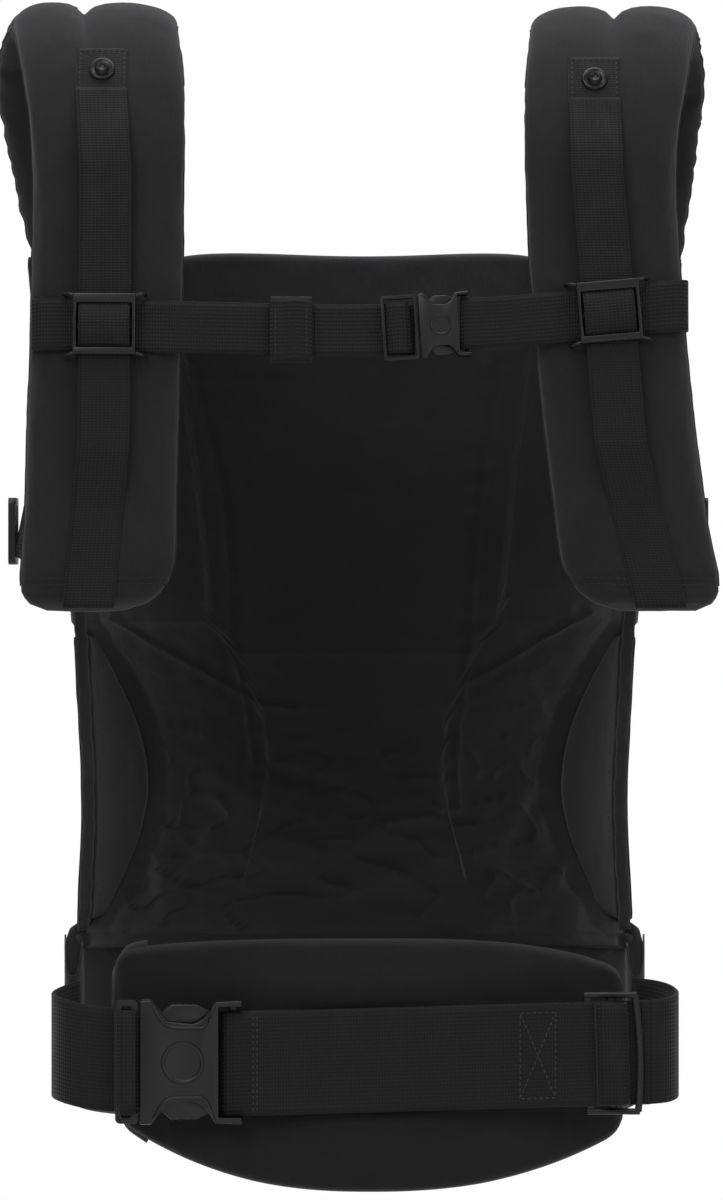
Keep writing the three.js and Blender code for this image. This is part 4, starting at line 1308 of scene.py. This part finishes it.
def end_sleeve():
    """Elastic sleeve round the pad's left end, standing just proud of it."""
    rows = []
    for x in np.linspace(-121.6, -104.6, 9):
        ring = []
        for t in np.linspace(0, 2 * np.pi, 60, endpoint=False):
            c, s = math.cos(t), math.sin(t)
            close = 0.06 * np.clip((-x - 112) / 10, 0, 1) ** 2
            level = 0.5 + (0.515 - close) * math.copysign(abs(c) ** 0.42, c)
            through = 0.5 + 0.53 * math.copysign(abs(s) ** 0.62, s)
            ring.append(lumbar_point(np.array(x), np.array(level), np.array(through)))
        rows.append(ring)
    rows = crumple(np.array(rows), 0.5, 14, 9.1)
    obj = grid_object("lumbar_end_sleeve", rows, BINDING, closed=True)
    face_outwards(obj)
    thicken(obj, 1.0)
    finish_piece(obj, "lumbar_pad", ["lumbar_end_band"])


# ---------- chest strap ----------
RUN = RUN_BEND - RUN_BOTTOM
RUN_TILT = math.atan2(*RUN)
CHEST_SHARE = (CHEST_Z - RUN_BOTTOM[1]) / RUN[1]
CHEST_ORIGIN = np.array([0, RUN_BOTTOM[0] + RUN[0] * CHEST_SHARE - MIDDLE_CROWN, CHEST_Z])
CHEST_OUT = np.array([0, -math.cos(RUN_TILT), math.sin(RUN_TILT)])
CHEST_UP = np.array([0, math.sin(RUN_TILT), math.cos(RUN_TILT)])
RAIL_LIFT = 5.8


def chest_point(x, out, z):
    """Point given in the chest strap's own directions: along X, out from the pads, and up them."""
    return CHEST_ORIGIN + X_AXIS * x + CHEST_OUT * out + CHEST_UP * z


def chest_strap():
    """Both webbings of the chest strap, each turned back round its slider at the outer end."""
    left = [
        (-159.0, -7.5, 0.4), (-158.8, -3.5, 0.4), (-157.0, -0.4, 0.4), (-151, 0.5, 0.4), (-140, 0.5, 0.2),
        (-123, 0.5, 0), (-95, 0.5, -0.7), (-60, 0.7, -1.5), (-20, 0.5, -2.5), (26, 0.5, -2.2),
    ]
    right = [
        (47.6, 3.95, 0.2), (55, 3.95, 0.6), (65, 1.2, 1.3), (72, 0.5, 1.8), (85, 0.5, 3.0), (98, 0.5, 4.1),
        (130, 0.5, 7.3), (149, 0.5, 9.1), (155, -0.4, 9.7), (156.9, -3.5, 9.9), (157.1, -7.5, 9.9),
    ]
    for name, points in (("left", left), ("right", right)):
        spine = spline([chest_point(*p) for p in points], 2.0)
        obj = band(f"{name}_chest_band", spine, CHEST_UP, CHEST_WIDTH, CHEST_THICK, CHEST_CLOTH)
        finish_piece(obj, "chest_strap", [f"chest_webbing_{name}"])


def chest_keeper():
    """Folded elastic band round the webbing, its overlap sewn down."""
    loop = round_corners([(-14.9, 4.6), (14.9, 4.6), (14.9, -1.6), (-14.9, -1.6)], 2.6, 6)
    loop += [loop[0]]
    rows = []
    for x in np.linspace(-44, -24, 12):
        wave = 0.3 * math.sin(x / 2.3)
        rows.append([chest_point(x, out + (wave if out > 3 else 0), -2.2 + z) for z, out in loop])
    obj = grid_object("keeper_loop", np.array(rows), CHEST_CLOTH)
    face_outwards(obj)
    thicken(obj, -1.2)
    finish_piece(obj, "chest_keeper", ["chest_keeper"])
    routes = [[chest_point(x, 5.95, z) for z in np.linspace(-14, 10, 20)] for x in (-41.5, -26.5)]
    rows = stitch_rows("keeper_stitches", routes, [CHEST_OUT] * 2, THREAD, 2.0, 0.8, 0.3)
    finish_piece(rows, "chest_keeper")


def chest_buckle():
    """The small side-release buckle, the waist buckle's shape at half size."""
    plastic_piece(moulded_copy("chest_buckle_socket", 0.7), "chest_strap", "chest_buckle_socket")
    plastic_piece(moulded_copy("chest_buckle_plug", 0.55), "chest_plug", "chest_buckle_plug")
    for label in ("upper", "lower"):
        arm = moulded_copy(f"chest_release_arm_{label}", 0.4)
        plastic_piece(arm, f"chest_arm_{label}", f"chest_release_arm_{label}")
    turn = math.radians(3.5)
    along = X_AXIS * math.cos(turn) + CHEST_UP * math.sin(turn)
    across = CHEST_UP * math.cos(turn) - X_AXIS * math.sin(turn)
    face = chest_point(28, 9.4, -1.2) + along * 10.2
    profile = [(5.2, -0.1), (4.9, 0.3), (4.5, 0.36), (4.1, 0.2), (3.9, -0.1)]
    ring = turned("chest_buckle_ring", profile, face, CHEST_OUT)
    plastic_piece(ring, "chest_strap")
    centre = chest_point(28, 2.6, -1.2) - along * 10.6
    webbing_roll(
        "chest_plug_roll", centre, along, CHEST_OUT, 24.5, 5.0, 3.6, "chest_plug", 1.7, CHEST_CLOTH, across,
    )


# A slider hook's bend: along the strap, outwards, and up from the slider's middle.
HOOK = [(13.8, 6.6, 13.9), (15.8, 6.4, 14.3), (18.0, 5.6, 14.8), (19.4, 3.6, 15.0), (19.5, 1.4, 14.7)]


def chest_slider(name, strap, lean, body):
    """Frame that rides on the rail webbing: thick top bar, thin bottom bar, side rails with bent hooks."""
    slant = (strap["rail"][2] - strap["rail"][1]) / ((1 - KINK) * RUN[1])
    centre_x = rail_x(strap, CHEST_SHARE) + slant * lean
    angle = math.atan(slant)
    along = X_AXIS * math.cos(angle) - CHEST_UP * math.sin(angle)
    up = CHEST_UP * math.cos(angle) + X_AXIS * math.sin(angle)
    origin = chest_point(centre_x, 0, lean)

    def at(x, out, z):
        return origin + along * x + CHEST_OUT * out + up * z

    face = RAIL_LIFT + CHEST_THICK + 0.35 + 1.3
    parts = []
    for z, tall, label in ((12.4, 4.8, "top"), (-13.1, 3.6, "bottom")):
        route = [at(x, face + 0.5 * (1 - (x / 15) ** 2), z) for x in np.linspace(-14.6, 14.6, 13)]
        parts.append(sweep(f"{name}_{label}_bar", route, bar_section(tall, 2.6, 1.0), up))
    route = [at(x, RAIL_LIFT - 1.6, 0) for x in np.linspace(-14.4, 14.4, 7)]
    parts.append(sweep(f"{name}_centre_bar", route, bar_section(4.6, 2.3, 0.9), up))
    for side in (-1, 1):
        rail = [at(side * 14.2, face - 1.0, z) for z in np.linspace(-14.6, 14.4, 9)]
        parts.append(sweep(f"{name}_rail_{side}", rail, bar_section(1.9, 4.6, 0.8), along))
        lower = [at(side * 14.2, RAIL_LIFT - 0.6, z) for z in np.linspace(-14.0, 14.0, 7)]
        parts.append(sweep(f"{name}_cheek_{side}", lower, bar_section(1.9, 4.2, 0.8), along))
        for end in (-1, 1):
            hook = spline([at(side * x, out, end * z) for x, out, z in HOOK], 0.8)
            parts.append(sweep(f"{name}_hook_{side}_{end}", hook, bar_section(1.7, 1.9, 0.7), up))
    obj = joined(f"{name}_chest_slider_moulding", parts)
    plastic_piece(obj, body, f"{name}_chest_slider")
    centre = at(0, RAIL_LIFT + 0.9, -0.6)
    webbing_roll(f"{name}_slider_roll", centre, up, CHEST_OUT, 24.6, 9.9, 4.2, body, 1.7, CHEST_CLOTH, along)


# ---------- tabs, studs and shoulder adjusters ----------
def stud_tab(strap, name):
    """Webbing tab sewn across the strap at the shoulder, with a press stud in its middle."""
    low, high = (strap_frame(strap, arch_place(k))[0] for k in strap["facet"])
    middle = (low + high) / 2
    middle[0] = strap["tab_x"]
    up = unit((high - low) * [0, 1, 1])
    out = np.array([0, -up[2], up[1]])
    centre = middle + out * (MIDDLE_CROWN + 1.1)

    def point(share, level, depth):
        x = (share - 0.5) * 25.6
        z = (level - 0.5) * 27.0
        sag = 0.9 * (2 * level - 1) ** 2 + 0.35 * (2 * share - 1) ** 4
        steps = ((x + 0 * z, X_AXIS), (z + 0 * x, up), (depth - sag, out))
        return centre + sum(np.multiply.outer(amount, axis) for amount, axis in steps)

    obj = padded_patch(f"{name}_tab_cloth", point, 26, 20, CHEST_CLOTH, 1.7, 0.05, rim=1.0, wrinkle=0.12)
    finish_piece(obj, "carrier", [f"{name}_stud_tab"])
    inset = 0.075
    t = np.linspace(inset, 1 - inset, 24)
    edges = [np.full_like(t, inset), np.full_like(t, 1 - inset)]
    routes = [point(t, e, 1.85) for e in edges] + [point(e, t, 1.85) for e in edges]
    rows = stitch_rows(f"{name}_tab_stitches", routes, [out] * 4, THREAD, 2.0, 0.8, 0.3)
    finish_piece(rows, "carrier")
    seat = centre + out * 1.95
    profile = [
        (6.3, -0.2), (6.3, 0.5), (5.9, 1.0), (5.2, 1.15), (4.4, 0.7), (3.7, 0.55),
        (3.3, 1.0), (2.9, 2.1), (2.3, 2.6), (1.6, 2.35), (1.2, 1.7), (0.4, 1.5),
    ]
    stud = turned(f"{name}_stud_moulding", profile, seat, out, 48)
    plastic_piece(stud, "carrier", f"{name}_press_stud")


def side_webbing(name, route, tilt):
    """Webbing from the strap's lower end to the panel, and its adjuster; tilt leans its top edge inwards."""
    side = -1 if name == "left" else 1
    spine = spline(route, 2.0)[::-side]
    across = Z_AXIS - X_AXIS * side * tilt
    obj = band(f"{name}_side_band", spine, unit(across), CHEST_WIDTH, CHEST_THICK, CHEST_CLOTH)
    finish_piece(obj, "carrier", [f"{name}_side_webbing"])
    plastic_piece(moulded_copy(f"{name}_strap_adjuster", 0.8), f"{name}_adjuster", f"{name}_strap_adjuster")


front_webbing()
loop_webbings()
waist_buckle()
tri_glide()
lumbar_pad()
chest_strap()
chest_keeper()
chest_buckle()
chest_slider("left", STRAPS["left"], 0.0, "left_chest_slider")
chest_slider("right", STRAPS["right"], 6.2, "right_chest_slider")
for label, strap in STRAPS.items():
    stud_tab(strap, label)
SIDE_ROUTES = {
    "left": [
        (-148, 15, 260.5), (-155, 9, 260), (-162, -2, 259), (-168, -18, 257),
        (-166, -34, 255), (-159, -47, 252), (-146, -55, 248),
    ],
    "right": [
        (150, -53, 248), (158, -46, 252), (164, -34, 255), (164, -18, 257),
        (157, -2, 259), (149, 8, 260), (142, 14, 260.5),
    ],
}
side_webbing("left", SIDE_ROUTES["left"], 0.2)
side_webbing("right", SIDE_ROUTES["right"], 0.0)


# ---------- studio ----------
FLOOR_DROP = 235
AIM = Vector((0, 0, 0.22))
def studio():
    """Pale round floor, soft light from above and both sides, and a camera level with the middle."""
    paper = Tree("studio_paper", tone(0.9), 0.9)
    grain = paper.noise(paper.place, 30, 2)
    paper_material = paper.finish(paper.bump(grain, 0.0005, 0.1))
    floor_z = cad_box[0][2] * 1000 - FLOOR_DROP
    radius = np.array([0.01, 400, 900, 1400])[:, None, None]
    angle = np.linspace(0, 2 * np.pi, 72, endpoint=False)
    ring = np.stack([np.cos(angle), np.sin(angle), 0 * angle], 1)
    rows = radius * ring + [0, 0, floor_z]
    floor = grid_object("studio_floor", rows, paper_material, closed=True)
    face_outwards(floor)
    world = bpy.data.worlds.new("studio_world")
    world.use_nodes = True
    background = world.node_tree.nodes["Background"]
    background.inputs[0].default_value = (1, 1, 1, 1)
    background.inputs[1].default_value = 1.0
    scene.world = world
    lights = [
        ("key", (-0.9, -1.9, 1.6), 1.3, 74), ("fill", (1.5, -1.6, 0.9), 1.5, 40),
        ("top", (0.0, -0.2, 1.9), 1.5, 62), ("front", (0.2, -2.6, -0.1), 1.2, 14),
    ]
    for label, spot, size, power in lights:
        lamp = bpy.data.lights.new(label, "AREA")
        lamp.shape = "DISK"
        lamp.size = size
        lamp.energy = power
        obj = bpy.data.objects.new(label, lamp)
        obj.location = spot
        obj.rotation_euler = (AIM - Vector(spot)).to_track_quat("-Z", "Y").to_euler()
        scene.collection.objects.link(obj)
    camera = bpy.data.objects.new("camera", bpy.data.cameras.new("camera"))
    camera.data.lens = 131.7
    camera.data.sensor_width = 36
    camera.location = (0, -2.2, 0.222)
    camera.rotation_euler = (math.pi / 2, 0, 0)
    scene.collection.objects.link(camera)
    scene.camera = camera
    scene.view_settings.view_transform = "Standard"


studio()
